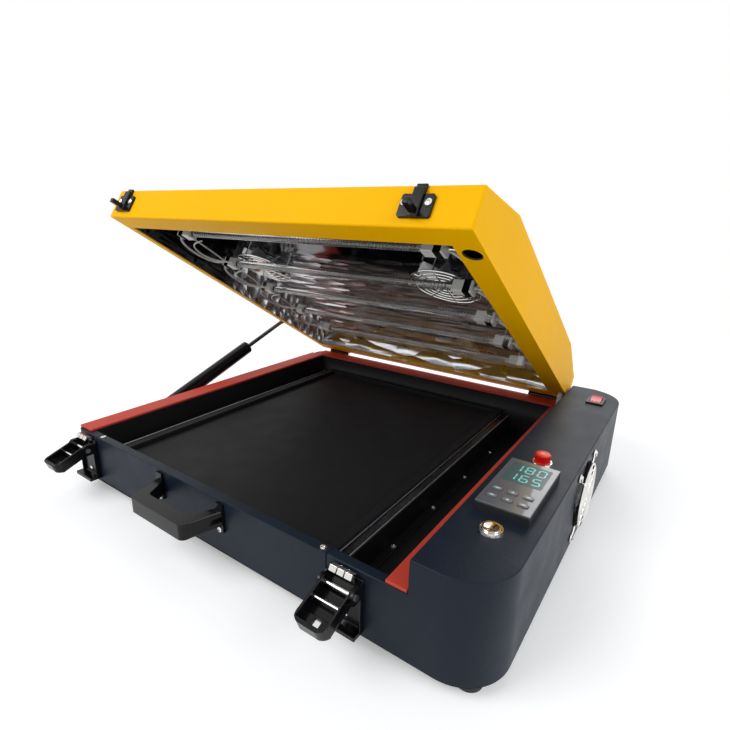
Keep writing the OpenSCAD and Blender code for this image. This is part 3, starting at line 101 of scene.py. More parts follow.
# %% Shared measures, in millimetres
hinge_xs = (44, 460)
latch_xs = (30, 447)
side_fan_y, side_fan_z = 262, 49
fan_corner_ys, fan_corner_zs = (226.5, 297.5), (13.5, 84.5)
lid_fans = ((92, 193.5), (394, 193.5))
lid_rim_z = 67.3
tube_z = lid_rim_z + 24
tube_pitch = 86
tube_ys = [250.75 + (i - 2) * tube_pitch for i in range(5)]
tube_x0, tube_x1 = 67, 419
panel_x, face_z = 539.5, 106
print("heating tubes at y", tube_ys)

# %% [markdown]
# The camera stands where the photographer stood: to the right of the open oven, a little above the
# lid's front edge. It was found by fitting a pinhole camera to the corners of the case. The lens is
# short, so the near corner looms, as it does in the photograph.

# %% Camera
film_mm, lens_mm = 36, 24.2
camera_place = (649, -271.6, 338.7)
camera_look = Vector((-0.546, 0.786, -0.2906))
camera_roll = radians(1.26)

scene = bpy.context.scene
camera_data = bpy.data.cameras.new("camera")
camera_data.sensor_width = film_mm
camera_data.lens = lens_mm
camera = bpy.data.objects.new("camera", camera_data)
scene.collection.objects.link(camera)
camera.location = on_case(*camera_place)
camera.rotation_mode = "QUATERNION"
camera.rotation_quaternion = (
    camera_look.to_track_quat("-Z", "Y") @ Quaternion((0, 0, 1), camera_roll)
)
scene.camera = camera
print("camera at", [round(v, 3) for v in camera.location])

# %% [markdown]
# Every finish is a small tree of shader nodes. Written out node by node such trees are long, so a
# few helpers say the same in a line each: one feeds a socket, one adds a node, one does sums.

# %% Helpers: shader nodes


def feed(tree, socket, value):
    """Gives a socket a plain value, or a link where the value is another node's output."""
    if isinstance(value, bpy.types.NodeSocket):
        tree.links.new(value, socket)
    else:
        socket.default_value = value


def put(tree, kind, inputs, **options):
    """Adds a node, sets its options and feeds its inputs, by name or by number."""
    node = tree.nodes.new("ShaderNode" + kind)
    for option, value in options.items():
        setattr(node, option, value)
    for key, value in inputs.items():
        feed(tree, node.inputs[key], value)
    return node


def calc(tree, operation, a, b):
    return put(tree, "Math", {0: a, 1: b}, operation=operation).outputs[0]


def mix(tree, amount, first, second):
    """The first shader where the amount is 0, the second where it is 1."""
    inputs = {"Fac": amount, 1: first.outputs[0], 2: second.outputs[0]}
    return put(tree, "MixShader", inputs)


def object_coords(tree):
    return put(tree, "TexCoord", {}).outputs["Object"]


def seen_directly(tree):
    """1 for rays that show the background: from the camera, in gloss and through glass."""
    rays = put(tree, "LightPath", {}).outputs
    either = calc(tree, "MAXIMUM", rays["Is Camera Ray"], rays["Is Glossy Ray"])
    return calc(tree, "MAXIMUM", either, rays["Is Transmission Ray"])


print("shader helpers ready")

# %% [markdown]
# A product picture has a white sweep and broad soft lamps. The world is even and pale, so paint
# renders about as it is written. Behind the oven it is plain white to the camera and in gloss.

# %% World and lamps
room_color, room_strength = (0.93, 0.96, 1.0, 1), 0.5
backdrop_color, backdrop_strength = (1, 1, 1, 1), 1.0

scene.view_settings.view_transform = "Standard"
world = bpy.data.worlds.new("studio")
scene.world = world
world.use_nodes = True
tree = world.node_tree
tree.nodes.clear()
room = put(tree, "Background", {"Color": room_color, "Strength": room_strength})
backdrop = put(tree, "Background", {"Color": backdrop_color, "Strength": backdrop_strength})
both = mix(tree, seen_directly(tree), room, backdrop)
put(tree, "OutputWorld", {"Surface": both.outputs[0]})


def area_lamp(name, place, aim, size, power, color=(1, 1, 1)):
    data = bpy.data.lights.new(name, "AREA")
    data.shape = "RECTANGLE"
    data.size, data.size_y = size
    data.energy = power
    data.color = color
    lamp = bpy.data.objects.new(name, data)
    scene.collection.objects.link(lamp)
    lamp.location = place
    lamp.rotation_mode = "QUATERNION"
    lamp.rotation_quaternion = (Vector(aim) - Vector(place)).to_track_quat("-Z", "Y")


area_lamp("key", place=(-0.9, -1.5, 1.7), aim=(0, 0, 0.15), size=(1.4, 1.0), power=26)
area_lamp("side", place=(1.9, -0.3, 1.1), aim=(0.1, 0, 0.1), size=(1.0, 1.2), power=13,
          color=(0.95, 0.98, 1))
area_lamp("back", place=(-0.3, 1.9, 1.5), aim=(0, 0.1, 0.15), size=(1.6, 0.8), power=14)

# %% [markdown]
# The floor has to be white and still hold the oven's soft shadow. A matt white plane does the
# shadow. A little glow on top, for the rays that see it directly, lifts the lit part to white.

# %% Floor
floor_color = (0.82, 0.82, 0.82, 1)
floor_glow = 0.32
fade_from, fade_to = 0.55, 1.3
floor_half_size = 8
floor_gap = 0.5 * MM


def floor_finish():
    mat = bpy.data.materials.new("floor_white")
    mat.use_nodes = True
    tree = mat.node_tree
    tree.nodes.clear()
    direct = seen_directly(tree)
    matt = put(tree, "BsdfDiffuse", {"Color": floor_color})
    nothing = put(tree, "Emission", {"Strength": 0.0})
    glow = put(tree, "Emission", {"Strength": floor_glow})
    lift = mix(tree, direct, nothing, glow)
    near = put(tree, "AddShader", {0: matt.outputs[0], 1: lift.outputs[0]})
    # Far from the oven the floor goes over into the plain white of the backdrop
    reach = put(tree, "VectorMath", {0: object_coords(tree)}, operation="LENGTH").outputs["Value"]
    fade = put(tree, "MapRange", {"Value": reach, "From Min": fade_from, "From Max": fade_to})
    far = calc(tree, "MULTIPLY", fade.outputs["Result"], direct)
    sweep = mix(tree, far, near, put(tree, "Emission", {}))
    put(tree, "OutputMaterial", {"Surface": sweep.outputs[0]})
    return mat


floor_mesh = bpy.data.meshes.new("floor")
bm = bmesh.new()
bmesh.ops.create_grid(bm, x_segments=1, y_segments=1, size=floor_half_size)
bm.to_mesh(floor_mesh)
bm.free()
floor = bpy.data.objects.new("floor", floor_mesh)
scene.collection.objects.link(floor)
floor.location.z = cad_box[0][2] - floor_gap
floor_mesh.materials.append(floor_finish())
print("floor at", round(floor.location.z, 4))

# %% [markdown]
# Several finishes share the same small effects, so each effect is a node group, built once. The
# first is the skin of powder coat: fine orange peel, and a slow drift in colour and sheen. All of
# them read Object coordinates, so a pattern stays on its piece when the piece moves.

# %% Node group: coat skin
socket_kinds = {"Color": "NodeSocketColor", "Normal": "NodeSocketVector"}


def new_group(name, inputs, outputs):
    """An empty group with these inputs, each with its usual value, and these outputs."""
    group = bpy.data.node_groups.new(name, "ShaderNodeTree")
    for label, value in inputs.items():
        kind = socket_kinds.get(label, "NodeSocketFloat")
        socket = group.interface.new_socket(name=label, in_out="INPUT", socket_type=kind)
        socket.default_value = value
    for label in outputs:
        kind = socket_kinds.get(label, "NodeSocketFloat")
        group.interface.new_socket(name=label, in_out="OUTPUT", socket_type=kind)
    return group, group.nodes.new("NodeGroupInput"), group.nodes.new("NodeGroupOutput")


def noise(tree, scale, detail=2.0, vector=None):
    inputs = {"Scale": scale, "Detail": detail, "Vector": vector or object_coords(tree)}
    return put(tree, "TexNoise", inputs).outputs["Fac"]


def spread(tree, value, low, high, from_low=0.3, from_high=0.7):
    """Maps a noise value, which mostly lies between 0.3 and 0.7, to a range."""
    inputs = {"Value": value, "From Min": from_low, "From Max": from_high,
              "To Min": low, "To Max": high}
    return put(tree, "MapRange", inputs).outputs["Result"]


def shade(tree, color, amount):
    """The colour times an amount that changes over the surface."""
    return put(tree, "VectorMath", {0: color, "Scale": amount}, operation="SCALE").outputs[0]


def relief(tree, height, distance, strength):
    """The surface normal of a relief that is so many metres deep."""
    inputs = {"Height": height, "Distance": distance, "Strength": strength}
    return put(tree, "Bump", inputs).outputs["Normal"]


def coat_skin():
    usual = {"Color": (0.5, 0.5, 0.5, 1), "Roughness": 0.4, "Peel": 0.1, "Drift": 0.05}
    group, enter, leave = new_group("coat_skin", usual, ("Color", "Roughness", "Normal"))
    given = enter.outputs
    darkest = calc(group, "SUBTRACT", 1.0, given["Drift"])
    cloud = spread(group, noise(group, 9.0, 3), darkest, 1.0)
    smear = spread(group, noise(group, 34.0, 4), 0.0, 0.08)
    coarse = calc(group, "MULTIPLY", noise(group, 240.0), 1.6)
    peel = calc(group, "ADD", noise(group, 900.0), coarse)
    feed(group, leave.inputs["Color"], shade(group, given["Color"], cloud))
    feed(group, leave.inputs["Roughness"], calc(group, "ADD", given["Roughness"], smear))
    feed(group, leave.inputs["Normal"], relief(group, peel, 0.4 * MM, given["Peel"]))
    return group


groups = {"coat_skin": coat_skin()}
print("node group:", groups["coat_skin"].name)

# %% [markdown]
# Metal that was drawn or ground shows long scratches along one direction. The same noise as
# before, squeezed across the grain by a Mapping node, gives them. Sleeves on the heating leads are
# woven from glass yarn: two crossed waves make a plain braid.

# %% Node groups: grain and braid
grain_stretch = (18, 400, 400)
yarn_directions = ((1, 1, 0.6), (1, -1, -0.6))


def stretched(tree, stretch):
    inputs = {"Scale": stretch, "Vector": object_coords(tree)}
    return put(tree, "Mapping", inputs).outputs["Vector"]


def metal_grain():
    usual = {"Color": (0.6, 0.6, 0.6, 1), "Roughness": 0.25, "Depth": 0.1}
    group, enter, leave = new_group("metal_grain", usual, ("Color", "Roughness", "Normal"))
    given = enter.outputs
    scratches = noise(group, 6.0, 3, stretched(group, grain_stretch))
    stain = spread(group, noise(group, 22.0, 4), 0.84, 1.0)
    rough = calc(group, "ADD", given["Roughness"], spread(group, scratches, -0.05, 0.08))
    feed(group, leave.inputs["Color"], shade(group, given["Color"], stain))
    feed(group, leave.inputs["Roughness"], rough)
    feed(group, leave.inputs["Normal"], relief(group, scratches, 0.2 * MM, given["Depth"]))
    return group


def braid():
    usual = {"Color": (0.8, 0.8, 0.8, 1), "Scale": 900.0}
    group, enter, leave = new_group("braid", usual, ("Color", "Normal"))
    given = enter.outputs
    waves = []
    for direction in yarn_directions:
        along = put(group, "VectorMath", {0: object_coords(group), 1: direction},
                    operation="DOT_PRODUCT").outputs["Value"]
        waves.append(calc(group, "SINE", calc(group, "MULTIPLY", along, given["Scale"]), 0.0))
    yarn = calc(group, "MAXIMUM", *waves)
    tone = spread(group, yarn, 0.72, 1.0, -0.4, 0.9)
    feed(group, leave.inputs["Color"], shade(group, given["Color"], tone))
    feed(group, leave.inputs["Normal"], relief(group, yarn, 0.3 * MM, 0.6))
    return group


groups["metal_grain"] = metal_grain()
groups["braid"] = braid()
print("node groups:", sorted(groups))

# %% [markdown]
# A finish is one Principled shader, fed by one of the groups. What is the same all over a surface,
# such as metalness or a clear coat, is set on the shader's own socket. A coat's numbers are its
# roughness, the depth of its orange peel and how far its tone drifts. A metal's are its roughness
# and the depth of its grain. The colours were set by comparing renders with the photograph.

# %% Finishes


def finish(name, color, group=None, sockets=(), **inputs):
    """A material whose colour, roughness and normal come from a node group."""
    mat = bpy.data.materials.new(name)
    mat.use_nodes = True
    tree = mat.node_tree
    shader = tree.nodes["Principled BSDF"]
    shader.inputs["Base Color"].default_value = (*color, 1)
    for label, value in inputs.items():
        shader.inputs[label.replace("_", " ")].default_value = value
    if group:
        skin = put(tree, "Group", {}, node_tree=groups[group])
        skin.inputs["Color"].default_value = (*color, 1)
        for label, value in dict(sockets).items():
            skin.inputs[label].default_value = value
        for output in skin.outputs:
            target = "Base Color" if output.name == "Color" else output.name
            feed(tree, shader.inputs[target], output)
    return mat


def coat(name, color, roughness, peel, drift=0.06, **inputs):
    sockets = {"Roughness": roughness, "Peel": peel, "Drift": drift}
    return finish(name, color, "coat_skin", sockets, **inputs)


def metal(name, color, roughness, depth=0.05, **inputs):
    sockets = {"Roughness": roughness, "Depth": depth}
    return finish(name, color, "metal_grain", sockets, Metallic=1.0, **inputs)


finishes = {
    "yellow_powder_coat": coat("yellow_coat", (1.0, 0.505, 0.0), 0.40, 0.10, 0.03,
                               Specular_IOR_Level=0.05),
    "dark_powder_coat": coat("charcoal_coat", (0.008, 0.014, 0.025), 0.40, 0.16, 0.12,
                             Specular_IOR_Level=0.17),
    "black_powder_coat": coat("black_matt_coat", (0.007, 0.007, 0.008), 0.5, 0.14, 0.2,
                              Specular_IOR_Level=0.2),
    "black_hardware": coat("black_gloss_lacquer", (0.003, 0.003, 0.004), 0.2, 0.05, 0.1,
                           Specular_IOR_Level=0.18, Coat_Weight=0.14, Coat_Roughness=0.12),
    "zinc_steel": metal("zinc_plated_steel", (0.52, 0.53, 0.55), 0.42, 0.12),
    "bright_steel": metal("bright_steel", (0.83, 0.81, 0.78), 0.10, 0.03),
    "rotor_steel": metal("rotor_steel", (0.6, 0.6, 0.62), 0.3, 0.08),
    "supply_case": metal("folded_aluminium", (0.66, 0.67, 0.68), 0.35, 0.1),
    "brass_pins": metal("brass", (0.75, 0.56, 0.25), 0.2, 0.03),
    "silicone": coat("red_silicone", (0.60, 0.06, 0.032), 0.5, 0.08, 0.12,
                     Specular_IOR_Level=0.25, Subsurface_Weight=0.05),
    "black_rubber": coat("black_rubber", (0.012, 0.012, 0.012), 0.6, 0.2, 0.2),
    "ceramic_white": coat("white_ceramic", (0.84, 0.82, 0.77), 0.35, 0.05, 0.12),
    "mineral_board": coat("mineral_board", (0.75, 0.72, 0.62), 0.85, 0.5, 0.2),
    "black_plastic": coat("black_plastic", (0.012, 0.012, 0.013), 0.4, 0.12, 0.1),
    "grey_face": coat("grey_front", (0.085, 0.095, 0.11), 0.3, 0.02, 0.06,
                      Coat_Weight=0.6, Coat_Roughness=0.06),
    "grey_keys": coat("grey_key", (0.15, 0.165, 0.185), 0.3, 0.06, 0.1),
    "red_plastic": coat("red_plastic", (0.70, 0.006, 0.003), 0.2, 0.02, 0.08,
                        Specular_IOR_Level=0.3, Coat_Weight=0.2, Coat_Roughness=0.05),
    "dark_dome": coat("dark_dome", (0.006, 0.010, 0.032), 0.12, 0.0, 0.2,
                      Specular_IOR_Level=0.3, Coat_Weight=0.3, Coat_Roughness=0.05),
    "lead_sleeve": finish("woven_sleeve", (0.82, 0.80, 0.75), "braid", {"Scale": 2600.0},
                          Roughness=0.75),
}
print(len(finishes), "finishes")

# %% [markdown]
# Some surfaces need their own small shader. The reflector is a thin polished pan. Its front half
# lies still, and its metal colour there is painted near black, a painted reflection of the black
# tray, with a slow ripple. The half by the hinges is creased foil, which is pale and breaks the
# picture into long bright folds.
# The quartz tubes are clear, and the display's digits glow softly.

# %% Finishes: reflector, quartz and display
# Painted reflection: the still front half's metal colour is painted near black for its mirror image
# of the black tray; the creased half keeps the foil's own pale colour
still_half_painted_dark = (0.07, 0.07, 0.075, 1)
pan_creased = (0.86, 0.88, 0.92, 1)
creased_from_y, creased_to_y = 0.01, 0.09


def reflector_finish():
    mat = finish("mirror_pan", (0.5, 0.5, 0.5), Metallic=1.0)
    tree = mat.node_tree
    shader = tree.nodes["Principled BSDF"]
    place = put(tree, "SeparateXYZ", {0: object_coords(tree)})
    # The mask runs from the painted dark reflection at the front to the foil's pale colour by the
    # hinges, and also brings in the folds and the roughness
    creased = spread(tree, place.outputs["Y"], 0.0, 1.0, creased_from_y, creased_to_y)
    tone = put(tree, "Mix", {"Factor": creased, "A": still_half_painted_dark, "B": pan_creased},
               data_type="RGBA")
    feed(tree, shader.inputs["Base Color"], tone.outputs["Result"])
    ripple = noise(tree, 5.0, 2, stretched(tree, (1.0, 2.5, 1.0)))
    cells = put(tree, "TexVoronoi", {"Scale": 42.0, "Vector": stretched(tree, (0.45, 1.6, 1.0))},
                feature="F1")
    folds = calc(tree, "MULTIPLY", cells.outputs["Distance"], creased)
    height = calc(tree, "ADD", calc(tree, "MULTIPLY", ripple, 0.25), folds)
    feed(tree, shader.inputs["Normal"], relief(tree, height, 16 * MM, 0.8))
    haze = spread(tree, noise(tree, 40.0, 3), 0.05, 0.16)
    rough = calc(tree, "ADD", haze, calc(tree, "MULTIPLY", creased, 0.2))
    feed(tree, shader.inputs["Roughness"], rough)
    return mat


def quartz_finish():
    mat = finish("quartz", (0.96, 0.96, 0.95), Transmission_Weight=1.0, IOR=1.46)
    tree = mat.node_tree
    haze = spread(tree, noise(tree, 60.0, 3), 0.02, 0.12)
    feed(tree, tree.nodes["Principled BSDF"].inputs["Roughness"], haze)
    return mat


def glow_finish(name, color, strength):
    mat = finish(name, (0.02, 0.06, 0.06), Emission_Strength=strength)
    tree = mat.node_tree
    shader = tree.nodes["Principled BSDF"]
    shader.inputs["Emission Color"].default_value = (*color, 1)
    feed(tree, shader.inputs["Roughness"], spread(tree, noise(tree, 300.0), 0.2, 0.35))
    return mat


finishes["bright_reflector"] = reflector_finish()
finishes["quartz"] = quartz_finish()
finishes["digits"] = glow_finish("lit_digits", (0.16, 0.62, 0.55), 0.8)
finishes["window"] = coat("display_window", (0.035, 0.085, 0.09), 0.3, 0.0, 0.1)
finishes["key_marks"] = coat("key_marks", (0.62, 0.64, 0.66), 0.4, 0.0)
finishes["dark_rod"] = metal("oiled_rod", (0.10, 0.10, 0.11), 0.22, 0.03)
# A lighter red, used as a painted highlight in the middle of the red button's top
finishes["painted_highlight_pink"] = coat("painted_highlight_red", (0.85, 0.20, 0.15), 0.25, 0.0)
print("with the special ones:", len(finishes), "finishes")

# %% [markdown]
# A CAD node comes as loose triangles with knife-sharp edges. Folded sheet and moulded plastic are
# never that sharp, and it is the thin highlight along an edge that makes a product look real. So
# each node is copied, its triangles are joined, its flat faces made whole, and its outer edges
# bevelled. A bevel modifier would do the same to every edge. This one looks for edges between two
# broad faces, which leaves the cut edges of thin sheet alone.

# %% Helpers: joining, rounding and adding a piece
weld_gap = 2e-6
flat_angle = radians(0.4)
mark_depth = 0.3


def joined(node):
    bm = bmesh.new()
    bm.from_mesh(frame["nodes"][node].data)
    bmesh.ops.remove_doubles(bm, verts=bm.verts, dist=weld_gap)
    bmesh.ops.dissolve_limit(bm, angle_limit=flat_angle, verts=bm.verts, edges=bm.edges)
    return bm


def breadth(face):
    return face.calc_area() / max(edge.calc_length() for edge in face.edges)


def round_edges(bm, width_mm, least_breadth_mm, segments=3, least_angle=32):
    """Rounds the outer edges between faces that are both broad enough."""
    edges = [
        e for e in bm.edges
        if len(e.link_faces) == 2
        and e.calc_face_angle_signed(0) > radians(least_angle)
        and min(breadth(f) for f in e.link_faces) > least_breadth_mm * MM
    ]
    bmesh.ops.bevel(bm, geom=edges, offset=width_mm * MM, offset_type="OFFSET",
                    segments=segments, profile=0.5, affect="EDGES", clamp_overlap=False,
                    material=-1)
    bmesh.ops.remove_doubles(bm, verts=bm.verts, dist=weld_gap)
    bmesh.ops.dissolve_degenerate(bm, dist=weld_gap, edges=bm.edges)


def face_outwards(bm):
    bmesh.ops.recalc_face_normals(bm, faces=bm.faces)


def close_holes(bm):
    """Fills every open loop and turns the faces outwards."""
    bmesh.ops.holes_fill(bm, edges=[e for e in bm.edges if e.is_boundary])
    face_outwards(bm)


def thicken(bm, depth_mm):
    """Makes flat faces that look up into thin plates that reach down."""
    made = bmesh.ops.extrude_face_region(bm, geom=list(bm.faces), use_keep_orig=True)["geom"]
    lower = [g for g in made if isinstance(g, bmesh.types.BMVert)]
    bmesh.ops.translate(bm, verts=lower, vec=(0, 0, -depth_mm * MM))
    face_outwards(bm)


def set_in_place(bm, before, place):
    """Moves what was drawn about the origin, since the points in before, to its place."""
    added = [v for v in bm.verts if v not in before]
    bmesh.ops.transform(bm, matrix=place, verts=added)


def add_piece(name, bm, body, slot, look=None, angle=34):
    """Makes the drawn mesh a piece of a body, with the finish of its look, or else the finish of its
    slot.
    """
    mesh = bpy.data.meshes.new(name)
    bm.to_mesh(mesh)
    bm.free()
    mesh.shade_smooth()
    mesh.set_sharp_from_angle(angle=radians(angle))
    mesh.materials.append(finishes[look or slot])
    piece = bpy.data.objects.new(name, mesh)
    scene.collection.objects.link(piece)
    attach(piece, body)
    return piece


def even_shading(piece):
    """Lets broad flat faces stay flat between their rounded edges."""
    weigh = piece.modifiers.new("even_shading", "WEIGHTED_NORMAL")
    weigh.keep_sharp = True
    weigh.weight = 80


print("mesh helpers ready")

# %% [markdown]
# These nodes keep their CAD shape and only get rounded edges. The first number is the rounding in
# millimetres, the second the least breadth of a face beside an edge that is rounded. A node with no
# rounding is round already. Three nodes look other than their slot's finish says: the strut's rod
# and the slides' outer members are dark with oil, and the handle has the gloss of the latches.

# %% Rounded copies of the CAD nodes
rounded = {
    "base_case": (1.3, 4.0), "lid_shell": (2.2, 4.0), "drawer_front": (0.6, 1.2),
    "bottom_plate": (0.3, 4.0), "cavity_liner": (0.6, 4.0), "tray": (0.7, 3.5),
    "handle": (1.8, 3.0), "rubber_feet": (1.2, 1.5), "seal_strips": (0.9, 1.5),
    "rail_brackets": (0.4, 1.0), "outer_rails": (0.25, 0.8), "middle_rails": (0.25, 0.8),
    "inner_rails": (0.25, 0.8), "latch_bases": (0.6, 1.5), "latch_metal": (0.25, 0.6),
    "left_lever": (0.9, 1.6), "right_lever": (0.9, 1.6), "keepers": (0.7, 1.8),
    "hinge_base_leaves": (0.5, 1.5), "hinge_lid_leaves": (0.5, 1.5), "hinge_pins": (0.3, 0.8),
    "strut_base_stud": (0.3, 1.0), "strut_lid_stud": (0.3, 1.0), "strut_cylinder": (0.6, 1.2),
    "strut_rod": (0.4, 1.0), "power_inlet": (0.6, 1.2), "inlet_pins": (0.2, 0.5),
    "controller_case": (0.5, 3.0), "controller_face": (0.5, 1.0), "button_bezels": (0.3, 0.8),
    "steel_button": (0.4, 1.5), "red_button": (0.6, 0.8), "rocker_frame": (0.5, 1.5),
    "rocker": (0.5, 1.5), "fan_frame": (0.5, 2.5), "fan_rotor": (0.3, 1.4),
    "power_supply": (0.6, 2.0), "solid_state_relay": (0.6, 2.0), "reflector": (1.6, 4.0),
    "ceramic_ends": (0.6, 1.2), "lamp_clips": (0.2, 1.0), "left_fan_rotor": (0.3, 1.4),
    "right_fan_rotor": (0.3, 1.4), "badge_ring": (0.8, 1.0), "badge_dome": (0.0, 0.0),
    "lead_conduit": (0.0, 0.0), "insulation_boards": (0.6, 2.0),
    **{f"key_{n}": (0.4, 0.8) for n in range(1, 7)},
}
looks = {"strut_rod": "dark_rod", "outer_rails": "dark_rod", "handle": "black_hardware"}
dressed = []
for node, (width, least) in rounded.items():
    bm = joined(node)
    if width:
        round_edges(bm, width, least)
    piece = add_piece(node + "_dressed", bm, body_of[node], slot_of[node], looks.get(node))
    even_shading(piece)
    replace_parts(piece, node)
    dressed.append(piece)
print(len(dressed), "nodes dressed,", sum(len(p.data.polygons) for p in dressed), "faces")

# %% [markdown]
# Every screw on the oven is a small pan head with a cross recess. A cut with a boolean would leave
# ragged faces in so small a head, so the recess is built into its grid of faces: a five by five
# grid is pulled into a disc and crowned, and the middle cross of its faces is pushed down.

# %% Helper: a pan-head screw
head_radius, head_height, head_cells = 3.2, 1.8, 5
crown_drop, recess_depth = 0.45, 0.55


def pan_head(bm, where, out):
    """Adds one screw head at a place, standing out along a direction."""
    before = set(bm.verts)
    radius, height = head_radius * MM, head_height * MM
    drawn = bmesh.ops.create_grid(bm, x_segments=head_cells, y_segments=head_cells, size=radius)
    grid = drawn["verts"]
    cell = 2 * radius / head_cells
    faces = {f for v in grid for f in v.link_faces}
    cross = []
    for face in faces:
        middle = face.calc_center_median()
        column, row = round(middle.x / cell), round(middle.y / cell)
        if (column == 0 or row == 0) and max(abs(column), abs(row)) < 2:
            cross.append(face)
    rim = [e for f in faces for e in f.edges if e.is_boundary]
    for v in grid:
        flat = Vector((v.co.x, v.co.y, 0))
        if flat.length > 0:
            flat *= max(abs(v.co.x), abs(v.co.y)) / flat.length
        far = flat.length / radius
        v.co = flat + Vector((0, 0, height * (1 - crown_drop * far * far)))
    sunk = bmesh.ops.extrude_face_region(bm, geom=cross)["geom"]
    bmesh.ops.delete(bm, geom=cross, context="FACES")
    sunk_verts = [g for g in sunk if isinstance(g, bmesh.types.BMVert)]
    bmesh.ops.translate(bm, verts=sunk_verts, vec=(0, 0, -recess_depth * height))
    skirt = bmesh.ops.extrude_edge_only(bm, edges=list(set(rim)))["geom"]
    for g in skirt:
        if isinstance(g, bmesh.types.BMVert):
            g.co.z = 0
    turn = out.normalized().to_track_quat("Z", "Y").to_matrix().to_4x4()
    set_in_place(bm, before, Matrix.Translation(where) @ turn)


print("a head is", 2 * head_radius, "mm wide and", head_height, "mm high")

# %% [markdown]
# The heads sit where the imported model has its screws: three in each hinge leaf, one below each
# latch, two beside the mains inlet, four around the cooling fan, a row along each slide's bracket,
# two in each keeper on the lid, two in the handle's feet and two on the drawer front's top. The
# model has one screw node on each body that carries screws, so the heads are made in three pieces.

# %% Screws
front, back, right, up = Vector((0, -1, 0)), Vector((0, 1, 0)), Vector((1, 0, 0)), Vector((0, 0, 1))
lid_axes = lid_turn.to_3x3()


def beside(middles, *offsets):
    return [m + o for m in middles for o in offsets]


def spots(place, xs, ys, zs, out):
    """A screw at each mix of these places, with its head looking out this way."""
    return [(place(x, y, z), out) for x in xs for y in ys for z in zs]


def screws(name, body, node, places):
    bm = bmesh.new()
    for where, out in places:
        pan_head(bm, where, out)
    close_holes(bm)
    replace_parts(add_piece(name, bm, body, "bright_steel"), node)
    return len(places)


leaf_xs = beside(hinge_xs, -15, 0, 15)
leaf_y, case_leaf_z, lid_leaf_z = 502.7, 44.5, 78.55
latch_foot_y, latch_foot_z = -2.2, 15.6
keeper_xs, keeper_y, keeper_z = beside(latch_xs, -11, 11), -1.0, 88
inlet_xs, inlet_y, inlet_z = (502.5, 541.5), 502.5, 18
fan_wall_x = 577.4
bracket_xs, bracket_ys, bracket_z = (43, 431), (100, 188, 276, 364), 13
handle_xs, handle_y, handle_z = (186, 288), -3, 32.2
drawer_top_xs, drawer_top_y, drawer_top_z = (56.4, 417.6), 5, 64
case_places = (
    spots(on_case, leaf_xs, [leaf_y], [case_leaf_z], back)
    + spots(on_case, latch_xs, [latch_foot_y], [latch_foot_z], front)
    + spots(on_case, inlet_xs, [inlet_y], [inlet_z], back)
    + spots(on_case, [fan_wall_x], fan_corner_ys, fan_corner_zs, right)
    + spots(on_case, bracket_xs, bracket_ys, [bracket_z], up)
)
lid_places = (
    spots(on_lid, leaf_xs, [leaf_y], [lid_leaf_z], lid_axes @ back)
    + spots(on_lid, keeper_xs, [keeper_y], [keeper_z], lid_axes @ front)
)
drawer_places = (
    spots(on_case, handle_xs, [handle_y], [handle_z], front)
    + spots(on_case, drawer_top_xs, [drawer_top_y], [drawer_top_z], up)
)
count = screws("case_screw_heads", "base", "case_screws", case_places)
count += screws("lid_screw_heads", "lid", "lid_screws", lid_places)
count += screws("drawer_screw_heads", "drawer", "drawer_screws", drawer_places)
print(count, "screws")

# %% [markdown]
# The fan guards are bent from round wire and plated. A ring could be a bevelled curve, but a small
# circle spun once around the fan's axis gives a closed mesh at once, with no seam. Bars are plain
# round cones of even width. The CAD part has the same guards in square wire.

# %% Helpers: rings, bars and a wire guard
guard_wire, guard_rings, guard_bars = 1.2 * MM, 5, 4


def wire_section(bm, radius, wire, sides):
    """A small upright circle beside the Z axis, ready to be spun around it."""
    made = bmesh.ops.create_circle(bm, segments=sides, radius=wire)["verts"]
    bmesh.ops.rotate(bm, verts=made, matrix=Matrix.Rotation(pi / 2, 3, "X"))
    bmesh.ops.translate(bm, verts=made, vec=(radius, 0, 0))
    return made + list({e for v in made for e in v.link_edges})


def ring(bm, radius, wire, sides=8, steps=48):
    """A ring of round wire about the origin."""
    section = wire_section(bm, radius, wire, sides)
    bmesh.ops.spin(bm, geom=section, cent=(0, 0, 0), axis=(0, 0, 1),
                   angle=2 * pi, steps=steps, use_merge=True, use_duplicate=False)


def bar(bm, start, end, radius, sides=8):
    """A straight round bar between two points."""
    start, end = Vector(start), Vector(end)
    turn = (end - start).to_track_quat("Z", "Y").to_matrix().to_4x4()
    place = Matrix.Translation((start + end) / 2) @ turn
    bmesh.ops.create_cone(bm, cap_ends=True, segments=sides, radius1=radius, radius2=radius,
                          depth=(end - start).length, matrix=place)


def way(angle, reach_mm, rise_mm=0.0):
    """A point that far from the middle of a guard, and that far above its plane."""
    return Vector((cos(angle) * reach_mm, sin(angle) * reach_mm, rise_mm)) * MM


def wire_guard(bm, place, inner, outer, legs):
    """Rings, crossing bars and legs, drawn about Z and then set in place."""
    before = set(bm.verts)
    for i in range(guard_rings):
        ring(bm, (inner + (outer - inner) * i / (guard_rings - 1)) * MM, guard_wire)
    for k in range(guard_bars):
        reach = way(k * pi / guard_bars, outer)
        bar(bm, -reach, reach, guard_wire)
    for start, end in legs:
        bar(bm, start, end, guard_wire)
    set_in_place(bm, before, place)


print("guards are bent from wire", round(2 * guard_wire / MM, 1), "mm thick")

# %% [markdown]
# The cooling fan's guard stands on the right wall. Its four legs step down to the wall and end in
# eyes, which the fan's corner screws hold.

# %% Guard of the cooling fan
guard_x, eye_x = 579.8, 576.2
inner_mm, outer_mm = 8, 35.8
step_mm, foot_mm, eye_mm = -3.4, 47.5, 3.6

